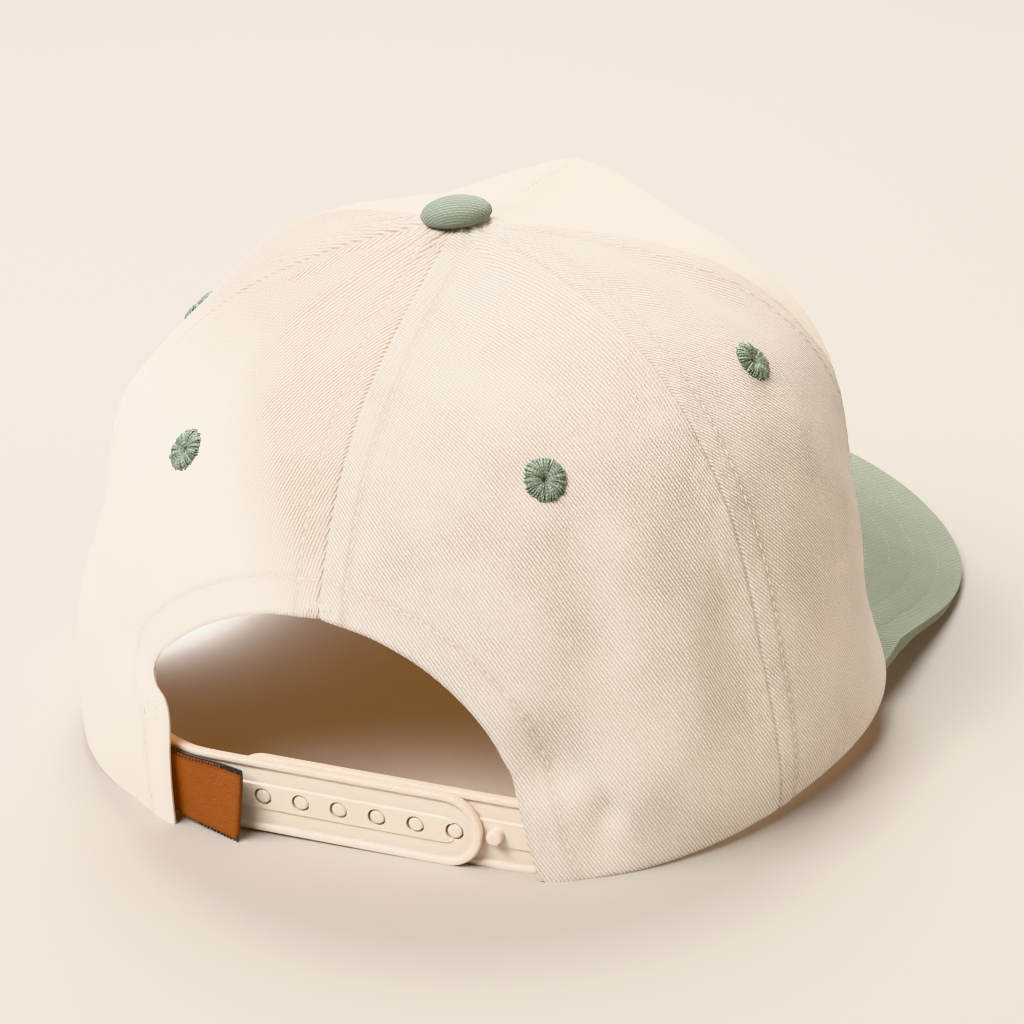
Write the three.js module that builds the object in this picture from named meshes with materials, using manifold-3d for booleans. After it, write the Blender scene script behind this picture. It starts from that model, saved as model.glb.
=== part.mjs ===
// Snapback cap with a five panel crown, curved peak, covered button and a two-part snap strap.
// Millimetres, +Z up. The peak points to -Y, the opening with the strap to +Y, the wearer's left is +X.
// The cap rests on the lower edges of its two legs and on the low sides of its peak.
// Azimuths are degrees round the crown from the middle of the back, + on the wearer's right.
// Heights on the crown are fractions of each section, 0 at the lower edge and 1 under the button.
import * as THREE from 'three';
import { mergeVertices } from 'three/addons/utils/BufferGeometryUtils.js';
import Module from 'manifold-3d';

const wasm = await Module();
wasm.setup();
const rad = THREE.MathUtils.degToRad;
const lerp = THREE.MathUtils.lerp;

// Driving dimensions of the crown
const CROWN_HEIGHT = 119.3; // base plane to the top under the button, before the cap leans back
const CROWN_SHIFT = 2.3; // how far the top lies behind the middle of the base, towards the opening
const WALL = 1.8;
const SEAM_GAP = 0.3;
const TOP_HOLE = 3.2; // radius of the hole for the button's rivet
const FRONT_RISE = 6; // how far the lower edge arches up over the peak
const RISE_FROM = 100; // azimuth where that arch begins
const LEAN = 4.75; // degrees that the cap leans back when it rests
const SINK = 1.9; // how far the lower edges of the legs are flattened by resting
const ORIGIN_SHIFT = 39.3; // moves the middle of the whole cap's length to the origin

// Crown sections: azimuth from the back, reach of the base, then out and up of three shaping points
const CROWN_SECTIONS = [
  { azimuth: 0, base: 98.6, out1: 95.1, up1: 31.7, out2: 95.2, up2: 94.7, out3: 61.6, up3: 101.5 },
  { azimuth: 60, base: 97.9, out1: 99.2, up1: 13.9, out2: 91.5, up2: 90.0, out3: 67.1, up3: 109.5 },
  { azimuth: 120, base: 97.8, out1: 86.1, up1: 36.2, out2: 100.7, up2: 95.7, out3: 73.6, up3: 110.0 },
  { azimuth: 180, base: 108.5, out1: 99.4, up1: 47.2, out2: 88.7, up2: 132.0, out3: 86.0, up3: 85.7 },
];
const CREASE = { lift: 23, halfAngle: 30, sharpness: 1.3 }; // the crease down the front panel
const BEZIER_DEGREE = 4;
const SLOPE_STEP = 0.002; // height fraction used to find the crown's slope

// Seams: azimuth at the lower edge and at the top
const BACK_SEAM = { base: 0, top: 0 };
const REAR_SEAM = { base: 65.3, top: 64.4 };
const FORE_SEAM = { base: 123, top: 109 };

// Edge of the opening from its top down each leg: azimuth and height fraction of the crown
const OPENING_RIGHT = [
  { azimuth: 0, rise: 0.379 },
  { azimuth: 8.8, rise: 0.357 },
  { azimuth: 16.4, rise: 0.316 },
  { azimuth: 22.4, rise: 0.255 },
  { azimuth: 25.7, rise: 0.19 },
  { azimuth: 26.6, rise: 0.12 },
  { azimuth: 28.4, rise: 0 },
];
const OPENING_LEFT = [
  { azimuth: 0, rise: 0.379 },
  { azimuth: 9.6, rise: 0.372 },
  { azimuth: 18.5, rise: 0.341 },
  { azimuth: 25.3, rise: 0.299 },
  { azimuth: 27.6, rise: 0.266 },
  { azimuth: 24.7, rise: 0.225 },
  { azimuth: 24.0, rise: 0 },
];
const ARCH_POINTS = 4; // rows of those tables that belong to the arch above the leg
const PANEL_ROWS = 15;
const SIDE_COLUMNS = 10;
const FRONT_COLUMNS = 22;
const BACK_MESH = { archColumns: 7, legColumns: 9, legRows: 6, upperRows: 12 };

// Soft dents: middle, half width in degrees, half height in height fractions, depth (- is a bulge)
const DENTS = [
  { azimuth: 31, rise: 0.245, wide: 4.5, tall: 0.035, depth: 1.8 },
  { azimuth: 38, rise: 0.36, wide: 5, tall: 0.09, depth: 1.2 },
  { azimuth: 57, rise: 0.32, wide: 4, tall: 0.08, depth: 1.3 },
  { azimuth: -35, rise: 0.27, wide: 4, tall: 0.035, depth: 1.3 },
  { azimuth: 36.8, rise: 0.12, wide: 1.6, tall: 0.05, depth: 0.9 },
  { azimuth: 100, rise: 0.72, wide: 5, tall: 0.1, depth: 1.5 },
  { azimuth: 37, rise: 0, wide: 8, tall: 0.05, depth: -1 },
  { azimuth: 74, rise: 0, wide: 12, tall: 0.06, depth: 2.2 },
  { azimuth: 111, rise: 0.33, wide: 8, tall: 0.06, depth: 0.5 },
  { azimuth: 124, rise: 0.48, wide: 7, tall: 0.05, depth: -1 },
  { azimuth: 144, rise: 0.6, wide: 10, tall: 0.06, depth: 1.3 },
  { azimuth: 180, rise: 0.61, wide: 8, tall: 0.05, depth: -1.3 },
  { azimuth: 180, rise: 0.77, wide: 9, tall: 0.05, depth: 0.9 },
  { azimuth: -108, rise: 0.74, wide: 6, tall: 0.04, depth: -0.8 },
  { azimuth: -92, rise: 0.655, wide: 9, tall: 0.055, depth: 2.5 },
  { azimuth: -73, rise: 0.505, wide: 7, tall: 0.045, depth: -1.9 },
  { azimuth: -66, rise: 0.375, wide: 7, tall: 0.05, depth: 1.8 },
  { azimuth: -60, rise: 0.2, wide: 8, tall: 0.06, depth: -0.5 },
  { azimuth: -33, rise: 0, wide: 6, tall: 0.06, depth: 1.4 },
];

// Peak: reach of the outer edge round a middle behind the front, and its height over the crown's base plane
const PEAK_MIDDLE = -30;
const PEAK_SPAN = 92; // degrees from straight ahead to the corner
const PEAK_REACH = [144.6, 141.7, 106.6, 91]; // at equal steps of that span
const PEAK_HEIGHT = [0.3, -11.4, -7.8, 2.5];
const PEAK_ROOT = 107; // crown azimuth where the peak's corner is sewn in
const PEAK_TUCK = 4; // width of the seam allowance under the crown's edge
const PEAK_THICK = 3;
const TINY = 1e-6; // keeps a share finite where a length is zero

// Button and eyelets
const BUTTON = {
  radius: 8.2, dome: 3.9, edge: 1, rivet: 2.2, rivetLength: 5, seat: 0.95, fall: 0.75, lean: -1.7, tip: 3,
};
const EYELET = {
  radius: 4.85, proud: 0.9, bore: 1.1, neck: 2.2, back: 3.6, backThick: 0.5, backGap: 0.66, clearance: 0.3,
  edgeRound: 0.3, edgeRise: 0.6, crown: 1.2, lipRound: 0.6, lipRise: 0.8,
};
const EYELETS = [
  { name: 'eyelet_back_right', azimuth: 34.7, rise: 0.583 },
  { name: 'eyelet_back_left', azimuth: -34, rise: 0.561 },
  { name: 'eyelet_side_right', azimuth: 88.4, rise: 0.635 },
  { name: 'eyelet_side_left', azimuth: -88.4, rise: 0.635 },
];

// Snap strap: two moulded halves that lie flat against each other between the legs
const STRAP_PLANE = 84.6; // distance of the face where they meet behind the cap's middle
const STRAP_LEVEL = 9.95; // height of the row of holes over the base plane
const STRAP_HALF = 8.9; // half height of a half
const STRAP_THICK = 1.5;
const STRAP_BEND = 24; // length at the sewn end that follows the leg
const STRAP_RIM = { width: 1.6, height: 0.5, slope: 0.3, round: 0.4 };
const STRAP_BAND = { half: 3.1, height: 0.25, slope: 0.3 };
const STRAP_BLEND = 1.2; // how softly the flat part turns into the bend
const STRAP_STEP = 0.05; // distance used to find the strap's slope
const HOLE_PITCH = 9.2;
const FIRST_HOLE = 18.7;
const HOLE_RADIUS = 2.15;
const PEG_RADIUS = 1.6;
const PEG_LENGTH = 2.1;
const PEG_HEAD = { shoulder: 0.9, top: 0.3, narrow: 0.8 }; // drops from the tip, and the flat's share of the radius
const OUTER_HALF = { tip: -24.7, end: 54, holes: 6, endRadius: 91.7, back: 0.15 };
const INNER_HALF = { tip: 18.7, end: -58, pegs: 7, endRadius: 95.6, back: -2.15 };

// Leather tab, sewn in under the wearer's left leg
const TAB = {
  root: 43, free: 22.8, thick: 1.2, clearance: 0.35, flare: 4.2, top: 17.2, rootBottom: 1.8, freeBottom: 0.9,
};

// Colours, sampled by eye
const CREAM = { color: 0xf0e4d2, roughness: 0.95, metalness: 0 };
const SAGE = { color: 0x9fb095, roughness: 0.92, metalness: 0 };
const PLASTIC = { color: 0xf3dcc0, roughness: 0.42, metalness: 0 };
const LEATHER = { color: 0xa9561f, roughness: 0.6, metalness: 0 };

const cap = new THREE.Group();

function addPiece(name, geometry, finish) {
  const mesh = new THREE.Mesh(geometry, new THREE.MeshStandardMaterial(finish));
  mesh.name = name;
  cap.add(mesh);
}

// Value at an angle, from values at equal steps over a half period, as a cosine series.
function around(values, span, angle) {
  const last = values.length - 1;
  let sum = 0;
  for (let wave = 0; wave <= last; wave += 1) {
    let weight = 0;
    values.forEach((value, i) => {
      const share = i === 0 || i === last ? 0.5 : 1;
      weight += share * value * Math.cos((Math.PI * wave * i) / last);
    });
    const scale = wave === 0 || wave === last ? 1 / last : 2 / last;
    sum += scale * weight * Math.cos((Math.PI * wave * angle) / span);
  }
  return sum;
}

function sectionValue(column, azimuth) {
  return around(CROWN_SECTIONS.map((row) => row[column]), 180, azimuth);
}

function dentAt(azimuth, rise) {
  let depth = 0;
  for (const dent of DENTS) {
    const turn = ((azimuth - dent.azimuth + 540) % 360) - 180;
    const across = turn / dent.wide;
    const along = (rise - dent.rise) / dent.tall;
    depth += dent.depth * Math.exp(-(across * across + along * along) / 2);
  }
  return depth;
}

// Shares of the five points of a Bezier section at a height fraction.
function bezierShares(rise) {
  const counts = [1, 4, 6, 4, 1];
  return counts.map((count, i) => count * (1 - rise) ** (BEZIER_DEGREE - i) * rise ** i);
}

// Outer face of the smooth crown before dents.
function crownFace(azimuth, rise) {
  const share = bezierShares(rise);
  const offFront = Math.abs(180 - Math.abs(azimuth)) / CREASE.halfAngle;
  const crease = CREASE.lift * Math.max(0, 1 - offFront) ** CREASE.sharpness;
  const arch = Math.max(0, (Math.abs(azimuth) - RISE_FROM) / (180 - RISE_FROM));
  const edgeRise = FRONT_RISE * Math.sin(rad(90 * arch)) ** 2;
  const value = (column) => sectionValue(column, azimuth);
  const out = share[0] * value('base') + share[1] * value('out1') + share[2] * value('out2')
    + share[3] * value('out3');
  const up = share[0] * edgeRise + share[1] * value('up1') + share[2] * value('up2')
    + share[3] * (value('up3') + crease) + share[4] * CROWN_HEIGHT;
  const a = rad(azimuth);
  return new THREE.Vector3(-Math.sin(a) * out, Math.cos(a) * out + CROWN_SHIFT * rise, up);
}

function crownNormal(azimuth, rise) {
  const turn = SLOPE_STEP * 100;
  const across = crownFace(azimuth - turn, rise).sub(crownFace(azimuth + turn, rise));
  const along = crownFace(azimuth, rise + SLOPE_STEP).sub(crownFace(azimuth, rise - SLOPE_STEP));
  return along.cross(across).normalize();
}

// A point of the crown's cloth, at a depth below its outer face.
function crownPoint(azimuth, rise, depth) {
  const normal = crownNormal(azimuth, rise);
  return crownFace(azimuth, rise).addScaledVector(normal, -depth - dentAt(azimuth, rise));
}

// Direction square to the dented cloth, before the cap leans back.
function clothNormal(azimuth, rise) {
  const turn = SLOPE_STEP * 100;
  const across = crownPoint(azimuth - turn, rise, 0).sub(crownPoint(azimuth + turn, rise, 0));
  const along = crownPoint(azimuth, rise + SLOPE_STEP, 0).sub(crownPoint(azimuth, rise - SLOPE_STEP, 0));
  return along.cross(across).normalize();
}

// Leans the cap back on its rear edge, lowers it and flattens what would reach under the surface.
function settle(point) {
  const pivot = CROWN_SECTIONS[0].base;
  const y = point.y - pivot;
  const lean = rad(LEAN);
  const rested = new THREE.Vector3(
    point.x,
    y * Math.cos(lean) + point.z * Math.sin(lean) + pivot + ORIGIN_SHIFT,
    -y * Math.sin(lean) + point.z * Math.cos(lean) - SINK,
  );
  rested.z = Math.max(0, rested.z);
  return rested;
}

function settleGeometry(geometry) {
  const position = geometry.attributes.position;
  const point = new THREE.Vector3();
  for (let i = 0; i < position.count; i += 1) {
    const rested = settle(point.fromBufferAttribute(position, i));
    position.setXYZ(i, rested.x, rested.y, rested.z);
  }
  geometry.computeVertexNormals();
  return geometry;
}

// Closed sheet from quads of plan points: an outer face, an inner face and a wall along every free edge.
// Each plan point is [u, v], and place(u, v, side) gives its corner on side 0 (outer) or 1 (inner).
function sheet(quads, place) {
  const index = new Map();
  const corners = [];
  const vertex = ([u, v]) => {
    const key = `${u.toFixed(6)},${v.toFixed(6)}`;
    if (!index.has(key)) {
      index.set(key, corners.length);
      corners.push([u, v]);
    }
    return index.get(key);
  };
  const faces = quads.map((quad) => quad.map(vertex));
  const count = corners.length;
  const points = [];
  for (const side of [0, 1]) {
    corners.forEach(([u, v]) => points.push(place(u, v, side)));
  }
  const triangles = [];
  const edges = new Map();
  for (const [a, b, c, d] of faces) {
    triangles.push(a, b, c, a, c, d);
    triangles.push(a + count, c + count, b + count, a + count, d + count, c + count);
    for (const [from, to] of [[a, b], [b, c], [c, d], [d, a]]) {
      if (edges.has(`${to},${from}`)) {
        edges.delete(`${to},${from}`);
      } else {
        edges.set(`${from},${to}`, [from, to]);
      }
    }
  }
  for (const [from, to] of edges.values()) {
    triangles.push(to, from, from + count, to, from + count, to + count);
  }
  const geometry = new THREE.BufferGeometry();
  geometry.setAttribute('position', new THREE.Float32BufferAttribute(points.flatMap((p) => p.toArray()), 3));
  geometry.setIndex(triangles);
  return geometry;
}

// Quads between two rails of plan points, with the given number of rows from the first to the second.
function railQuads(first, second, rows) {
  const grid = [];
  for (let j = 0; j <= rows; j += 1) {
    grid.push(first.map((p, i) => [lerp(p[0], second[i][0], j / rows), lerp(p[1], second[i][1], j / rows)]));
  }
  const quads = [];
  for (let j = 0; j < rows; j += 1) {
    for (let i = 0; i + 1 < first.length; i += 1) {
      quads.push([grid[j][i], grid[j][i + 1], grid[j + 1][i + 1], grid[j + 1][i]]);
    }
  }
  return quads;
}

function toManifold(geometry) {
  let plain = geometry.clone();
  plain.deleteAttribute('normal');
  plain.deleteAttribute('uv');
  plain = mergeVertices(plain, 1e-4);
  const corners = plain.index.array;
  const triangles = [];
  for (let i = 0; i < corners.length; i += 3) {
    const [a, b, c] = [corners[i], corners[i + 1], corners[i + 2]];
    if (a !== b && b !== c && c !== a) {
      triangles.push(a, b, c);
    }
  }
  return new wasm.Manifold(new wasm.Mesh({
    numProp: 3,
    vertProperties: new Float32Array(plain.attributes.position.array),
    triVerts: new Uint32Array(triangles),
  }));
}

function fromManifold(solid) {
  const mesh = solid.getMesh();
  const geometry = new THREE.BufferGeometry();
  geometry.setAttribute('position', new THREE.BufferAttribute(mesh.vertProperties, 3));
  geometry.setIndex(new THREE.BufferAttribute(mesh.triVerts, 1));
  geometry.computeVertexNormals();
  return geometry;
}

// Crown panels

// Height fraction where the crown narrows to the hole for the rivet.
function topRise(azimuth) {
  return 1 - TOP_HOLE / (BEZIER_DEGREE * sectionValue('out3', azimuth));
}

// Moves a seam point sideways by half the gap between two panels; toward is +1 to a larger azimuth.
function seamAzimuth(seam, rise, toward) {
  const azimuth = lerp(seam.base, seam.top, rise);
  const face = crownFace(azimuth, rise);
  const radius = Math.hypot(face.x, face.y - CROWN_SHIFT * rise);
  return azimuth + toward * THREE.MathUtils.radToDeg((SEAM_GAP / 2) / radius);
}

// A panel is laid out in shares: across from its rear to its front seam, up from its lower edge to the top.
function panelPoint(panel, across, up, side) {
  const rise = up * topRise(lerp(panel.rear.base, panel.front.base, across));
  const from = seamAzimuth(panel.rear, rise, 1);
  const to = seamAzimuth(panel.front, rise, -1);
  const azimuth = panel.hand * lerp(from, to, across);
  return settle(crownPoint(azimuth, rise, side * WALL));
}

// The wearer's left panels are laid out from right to left, so their quads are turned round.
function panelSheet(panel, quads) {
  const turned = panel.hand < 0 ? quads.map((quad) => [...quad].reverse()) : quads;
  return sheet(turned, (across, up, side) => panelPoint(panel, across, up, side));
}

function evenRail(from, to, level, columns) {
  return Array.from({ length: columns + 1 }, (_, i) => [lerp(from, to, i / columns), level]);
}

function sidePanel(panel) {
  const [low, high] = [0, 1].map((up) => evenRail(0, 1, up, SIDE_COLUMNS));
  return panelSheet(panel, railQuads(low, high, PANEL_ROWS));
}

// The front panel runs from seam to seam with the crease halfway: shares 0 to 1 and 1 to 2.
function frontPanel() {
  const place = (across, up, side) => {
    const half = across <= 1 ? across : 2 - across;
    const rise = up * topRise(lerp(FORE_SEAM.base, 180, half));
    const azimuth = lerp(seamAzimuth(FORE_SEAM, rise, 1), 180, half);
    return settle(crownPoint(across <= 1 ? azimuth : -azimuth, rise, side * WALL));
  };
  const [low, high] = [0, 1].map((up) => evenRail(0, 2, up, FRONT_COLUMNS));
  return sheet(railQuads(low, high, PANEL_ROWS), place);
}

// Back panel: its rows above the arch run up to the top, and its leg has rows of its own beside the opening.
function backPanel(panel, opening) {
  const { archColumns, legColumns, legRows, upperRows } = BACK_MESH;
  const shares = opening.map((row) => {
    const seam = lerp(panel.front.base, panel.front.top, row.rise);
    return new THREE.Vector3(row.azimuth / seam, row.rise, 0);
  });
  const arch = new THREE.CatmullRomCurve3(shares.slice(0, ARCH_POINTS + 1), false, 'centripetal');
  const jamb = new THREE.CatmullRomCurve3(shares.slice(ARCH_POINTS), false, 'centripetal');
  const archPoints = arch.getSpacedPoints(archColumns).map((p) => [p.x, p.y]);
  const jambPoints = jamb.getSpacedPoints(legRows).map((p) => [p.x, p.y]);
  const corner = archPoints[archColumns];
  const lower = [...archPoints, ...evenRail(corner[0], 1, corner[1], legColumns).slice(1)];
  const upper = lower.map((p, i) => [i / (lower.length - 1), 1]);
  const quads = railQuads(lower, upper, upperRows);
  for (let k = 0; k < legRows; k += 1) {
    const high = evenRail(jambPoints[k][0], 1, jambPoints[k][1], legColumns);
    const low = evenRail(jambPoints[k + 1][0], 1, jambPoints[k + 1][1], legColumns);
    quads.push(...railQuads(low, high, 1));
  }
  return panelSheet(panel, quads);
}

// Eyelets: thread worked round a hole, proud of both faces of the cloth like a rivet
function onCrown(geometry, eyelet) {
  const foot = crownPoint(eyelet.azimuth, eyelet.rise, 0);
  const normal = clothNormal(eyelet.azimuth, eyelet.rise);
  geometry.applyQuaternion(new THREE.Quaternion().setFromUnitVectors(new THREE.Vector3(0, 1, 0), normal));
  geometry.translate(foot.x, foot.y, foot.z);
  return settleGeometry(geometry);
}

function eyeletRing(eyelet) {
  const { radius, proud, bore, neck, back, backThick, clearance: low } = EYELET;
  const behind = -WALL - EYELET.backGap;
  const profile = [
    [bore, behind - backThick],
    [back, behind - backThick],
    [back, behind],
    [neck, behind],
    [neck, low],
    [radius, low],
    [radius - EYELET.edgeRound, low + proud * EYELET.edgeRise],
    [radius - EYELET.crown, low + proud],
    [bore + EYELET.lipRound, low + proud * EYELET.lipRise],
    [bore, low],
    [bore, behind - backThick],
  ].map(([x, y]) => new THREE.Vector2(x, y));
  return onCrown(new THREE.LatheGeometry(profile, 14), eyelet);
}

function eyeletHole(eyelet) {
  const reach = 2 * WALL + 2;
  const radius = EYELET.neck + EYELET.clearance;
  return onCrown(new THREE.CylinderGeometry(radius, radius, reach, 16), eyelet);
}

function pierce(geometry, eyelet) {
  return fromManifold(toManifold(geometry).subtract(toManifold(eyeletHole(eyelet))));
}

// Button: a covered dome on a rivet that passes through the hole where the panels meet
function buttonGeometry() {
  const { radius, dome, edge, rivet, rivetLength, seat, fall } = BUTTON;
  const low = seat - fall; // the underside falls outwards, as the cloth does
  const profile = [[0, -rivetLength], [rivet, -rivetLength], [rivet, seat], [radius - edge / 2, low]];
  const steps = 7;
  for (let i = 0; i <= steps; i += 1) {
    const angle = (Math.PI / 2) * (i / steps);
    profile.push([i === steps ? 0 : radius * Math.cos(angle), low + edge + dome * Math.sin(angle)]);
  }
  const geometry = new THREE.LatheGeometry(profile.map(([x, y]) => new THREE.Vector2(x, y)), 24);
  geometry.rotateX(Math.PI / 2);
  geometry.rotateX(-rad(BUTTON.lean));
  geometry.rotateY(rad(BUTTON.tip));
  geometry.translate(0, CROWN_SHIFT, CROWN_HEIGHT);
  return settleGeometry(geometry);
}

// Peak: a crescent between the crown's front edge and its own outer edge
function peakPoint(across, out, side) {
  const angle = across * PEAK_SPAN;
  const azimuth = 180 - Math.abs(across) * (180 - PEAK_ROOT);
  const hand = across < 0 ? -1 : 1;
  const edge = crownFace(hand * azimuth, 0);
  const reach = Math.hypot(edge.x, edge.y);
  const root = edge.clone().multiplyScalar((reach - PEAK_TUCK) / reach);
  root.z = Math.min(edge.z, crownPoint(hand * azimuth, 0, WALL).z) - SEAM_GAP;
  const outReach = around(PEAK_REACH, PEAK_SPAN, angle);
  const tip = new THREE.Vector3(
    -outReach * Math.sin(rad(angle)),
    PEAK_MIDDLE - outReach * Math.cos(rad(angle)),
    around(PEAK_HEIGHT, PEAK_SPAN, angle),
  );
  // The seam allowance stays level with the crown's edge before the peak starts to fall.
  const level = PEAK_TUCK / Math.max(root.distanceTo(tip), PEAK_TUCK);
  const fall = Math.max(0, (out - level) / (1 - level + TINY));
  const point = root.clone().lerp(tip, out);
  point.z = lerp(root.z, Math.min(tip.z, root.z), fall);
  point.z -= side * PEAK_THICK;
  return settle(point);
}

function peakGeometry() {
  const columns = 40;
  const rows = 5;
  return sheet(railQuads(evenRail(-1, 1, 0, columns), evenRail(-1, 1, 1, columns), rows), peakPoint);
}

// Snap strap

// Plan of the face where the halves meet: flat between the legs, then round along the inside of its leg.
function strapFace(x, half) {
  const along = Math.max(0, x * Math.sign(half.end));
  const round = Math.sqrt(half.endRadius ** 2 - along ** 2);
  return (STRAP_PLANE + round - Math.hypot(STRAP_PLANE - round, STRAP_BLEND)) / 2;
}

// Point of a half: x along, up from the row of holes, out from the face where the halves meet.
function strapPoint(x, up, out, half) {
  const slope = (strapFace(x + STRAP_STEP, half) - strapFace(x - STRAP_STEP, half)) / (2 * STRAP_STEP);
  const length = Math.hypot(slope, 1);
  return settle(new THREE.Vector3(
    x - out * slope / length,
    strapFace(x, half) + out / length,
    STRAP_LEVEL + up,
  ));
}

// A half is a long tongue with a round end. Its section runs from the middle line out to the edge.
function strapHalf(half) {
  const thick = STRAP_THICK;
  const rim = STRAP_RIM;
  const section = [
    { off: 0, out: thick + STRAP_BAND.height },
    { off: STRAP_BAND.half, out: thick + STRAP_BAND.height },
    { off: STRAP_BAND.half + STRAP_BAND.slope, out: thick },
    { off: STRAP_HALF - rim.width - rim.slope, out: thick },
    { off: STRAP_HALF - rim.width, out: thick + rim.height },
    { off: STRAP_HALF - rim.round, out: thick + rim.height },
    { off: STRAP_HALF, out: thick + rim.height - rim.round },
  ];
  const run = Math.sign(half.end - half.tip);
  const bends = 7;
  const sewn = Array.from({ length: bends + 1 }, (_, i) => half.end - run * STRAP_BEND * (i / bends));
  const fan = 12;
  const turn = Array.from({ length: fan + 1 }, (_, i) => ({ x: half.tip, angle: 90 + 180 * i / fan }));
  const stations = [
    ...sewn.map((x) => ({ x, angle: 90 })),
    ...turn,
    ...[...sewn].reverse().map((x) => ({ x, angle: 270 })),
  ];
  const quads = [];
  for (let s = 0; s + 1 < stations.length; s += 1) {
    for (let k = 0; k + 1 < section.length; k += 1) {
      quads.push([[s, k], [s + 1, k], [s + 1, k + 1], [s, k + 1]]);
    }
  }
  const place = (s, k, side) => {
    const station = stations[s];
    const { off, out } = section[k];
    const angle = rad(station.angle);
    const x = station.x + run * off * Math.cos(angle);
    return strapPoint(x, off * Math.sin(angle), half.back + (side === 0 ? out : 0), half);
  };
  const turned = run > 0 ? quads : quads.map((quad) => [...quad].reverse());
  return toManifold(sheet(turned, place));
}

function strapPin(x, radius, from, to, rounded) {
  const profile = rounded
    ? [[0, from], [radius, from], [radius, to - PEG_HEAD.shoulder],
      [radius * PEG_HEAD.narrow, to - PEG_HEAD.top], [0, to]]
    : [[0, from], [radius, from], [radius, to], [0, to]];
  const geometry = new THREE.LatheGeometry(profile.map(([r, y]) => new THREE.Vector2(r, y)), 12);
  geometry.translate(x, STRAP_PLANE, STRAP_LEVEL);
  return toManifold(settleGeometry(geometry));
}

function strapHoles() {
  let solid = strapHalf(OUTER_HALF);
  for (let i = 0; i < OUTER_HALF.holes; i += 1) {
    solid = solid.subtract(strapPin(FIRST_HOLE - i * HOLE_PITCH, HOLE_RADIUS, -1, STRAP_THICK + 2, false));
  }
  return fromManifold(solid);
}

function strapPegs() {
  let solid = strapHalf(INNER_HALF);
  for (let i = 0; i < INNER_HALF.pegs; i += 1) {
    const x = FIRST_HOLE - i * HOLE_PITCH;
    solid = solid.add(strapPin(x, PEG_RADIUS, INNER_HALF.back + STRAP_THICK / 2, PEG_LENGTH, true));
  }
  return fromManifold(solid);
}

// Leather tab: a short flag whose free end stands away from the strap
function tabGeometry() {
  const columns = 8;
  const rows = 5;
  const quads = railQuads(evenRail(0, 1, 0, columns), evenRail(0, 1, 1, columns), rows);
  const rim = OUTER_HALF.back + STRAP_THICK + STRAP_RIM.height;
  const place = (along, up, side) => {
    const x = lerp(TAB.root, TAB.free, along);
    const away = rim + TAB.clearance + TAB.flare * along ** 2;
    const bottom = lerp(TAB.rootBottom, TAB.freeBottom, along ** 1.5);
    const out = side === 0 ? away + TAB.thick : away;
    return strapPoint(x, lerp(bottom, TAB.top, up) - STRAP_LEVEL, out, OUTER_HALF);
  };
  return sheet(quads, place);
}

// Assembly
const backRight = backPanel({ rear: BACK_SEAM, front: REAR_SEAM, hand: 1 }, OPENING_RIGHT);
const backLeft = backPanel({ rear: BACK_SEAM, front: REAR_SEAM, hand: -1 }, OPENING_LEFT);
const sideRight = sidePanel({ rear: REAR_SEAM, front: FORE_SEAM, hand: 1 });
const sideLeft = sidePanel({ rear: REAR_SEAM, front: FORE_SEAM, hand: -1 });
addPiece('crown_front', frontPanel(), CREAM);
addPiece('crown_back_right', pierce(backRight, EYELETS[0]), CREAM);
addPiece('crown_back_left', pierce(backLeft, EYELETS[1]), CREAM);
addPiece('crown_side_right', pierce(sideRight, EYELETS[2]), CREAM);
addPiece('crown_side_left', pierce(sideLeft, EYELETS[3]), CREAM);
addPiece('peak', peakGeometry(), SAGE);
addPiece('button', buttonGeometry(), SAGE);
EYELETS.forEach((eyelet) => addPiece(eyelet.name, eyeletRing(eyelet), SAGE));
addPiece('strap_holes', strapHoles(), PLASTIC);
addPiece('strap_pegs', strapPegs(), PLASTIC);
addPiece('leather_tab', tabGeometry(), LEATHER);

export default cap;
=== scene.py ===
"""Snapback cap: cream twill crown, sage peak, button and eyelets, moulded snap strap, small leather tab.

Sizes are in millimetres until a mesh is written, which is in metres. +Z is up, the peak points to -Y,
the wearer's left is +X. Azimuths are degrees round the crown from the middle of the back, + on the
wearer's right. Heights on the crown are fractions of each section, 0 at the lower edge, 1 at the button.
"""
import math

import bpy
import numpy as np
from mathutils import Matrix


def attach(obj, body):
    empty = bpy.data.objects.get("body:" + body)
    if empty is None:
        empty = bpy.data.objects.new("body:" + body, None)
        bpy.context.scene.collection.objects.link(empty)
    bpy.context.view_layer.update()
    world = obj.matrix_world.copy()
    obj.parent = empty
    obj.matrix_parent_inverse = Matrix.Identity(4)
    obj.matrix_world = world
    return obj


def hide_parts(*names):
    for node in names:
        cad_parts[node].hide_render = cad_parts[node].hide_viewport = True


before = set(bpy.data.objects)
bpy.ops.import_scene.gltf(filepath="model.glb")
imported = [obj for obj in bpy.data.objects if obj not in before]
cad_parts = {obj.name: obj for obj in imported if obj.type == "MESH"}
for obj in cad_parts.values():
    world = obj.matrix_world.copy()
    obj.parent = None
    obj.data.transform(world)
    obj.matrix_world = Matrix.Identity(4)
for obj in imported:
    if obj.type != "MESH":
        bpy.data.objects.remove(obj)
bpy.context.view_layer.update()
MM = 0.001

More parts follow.
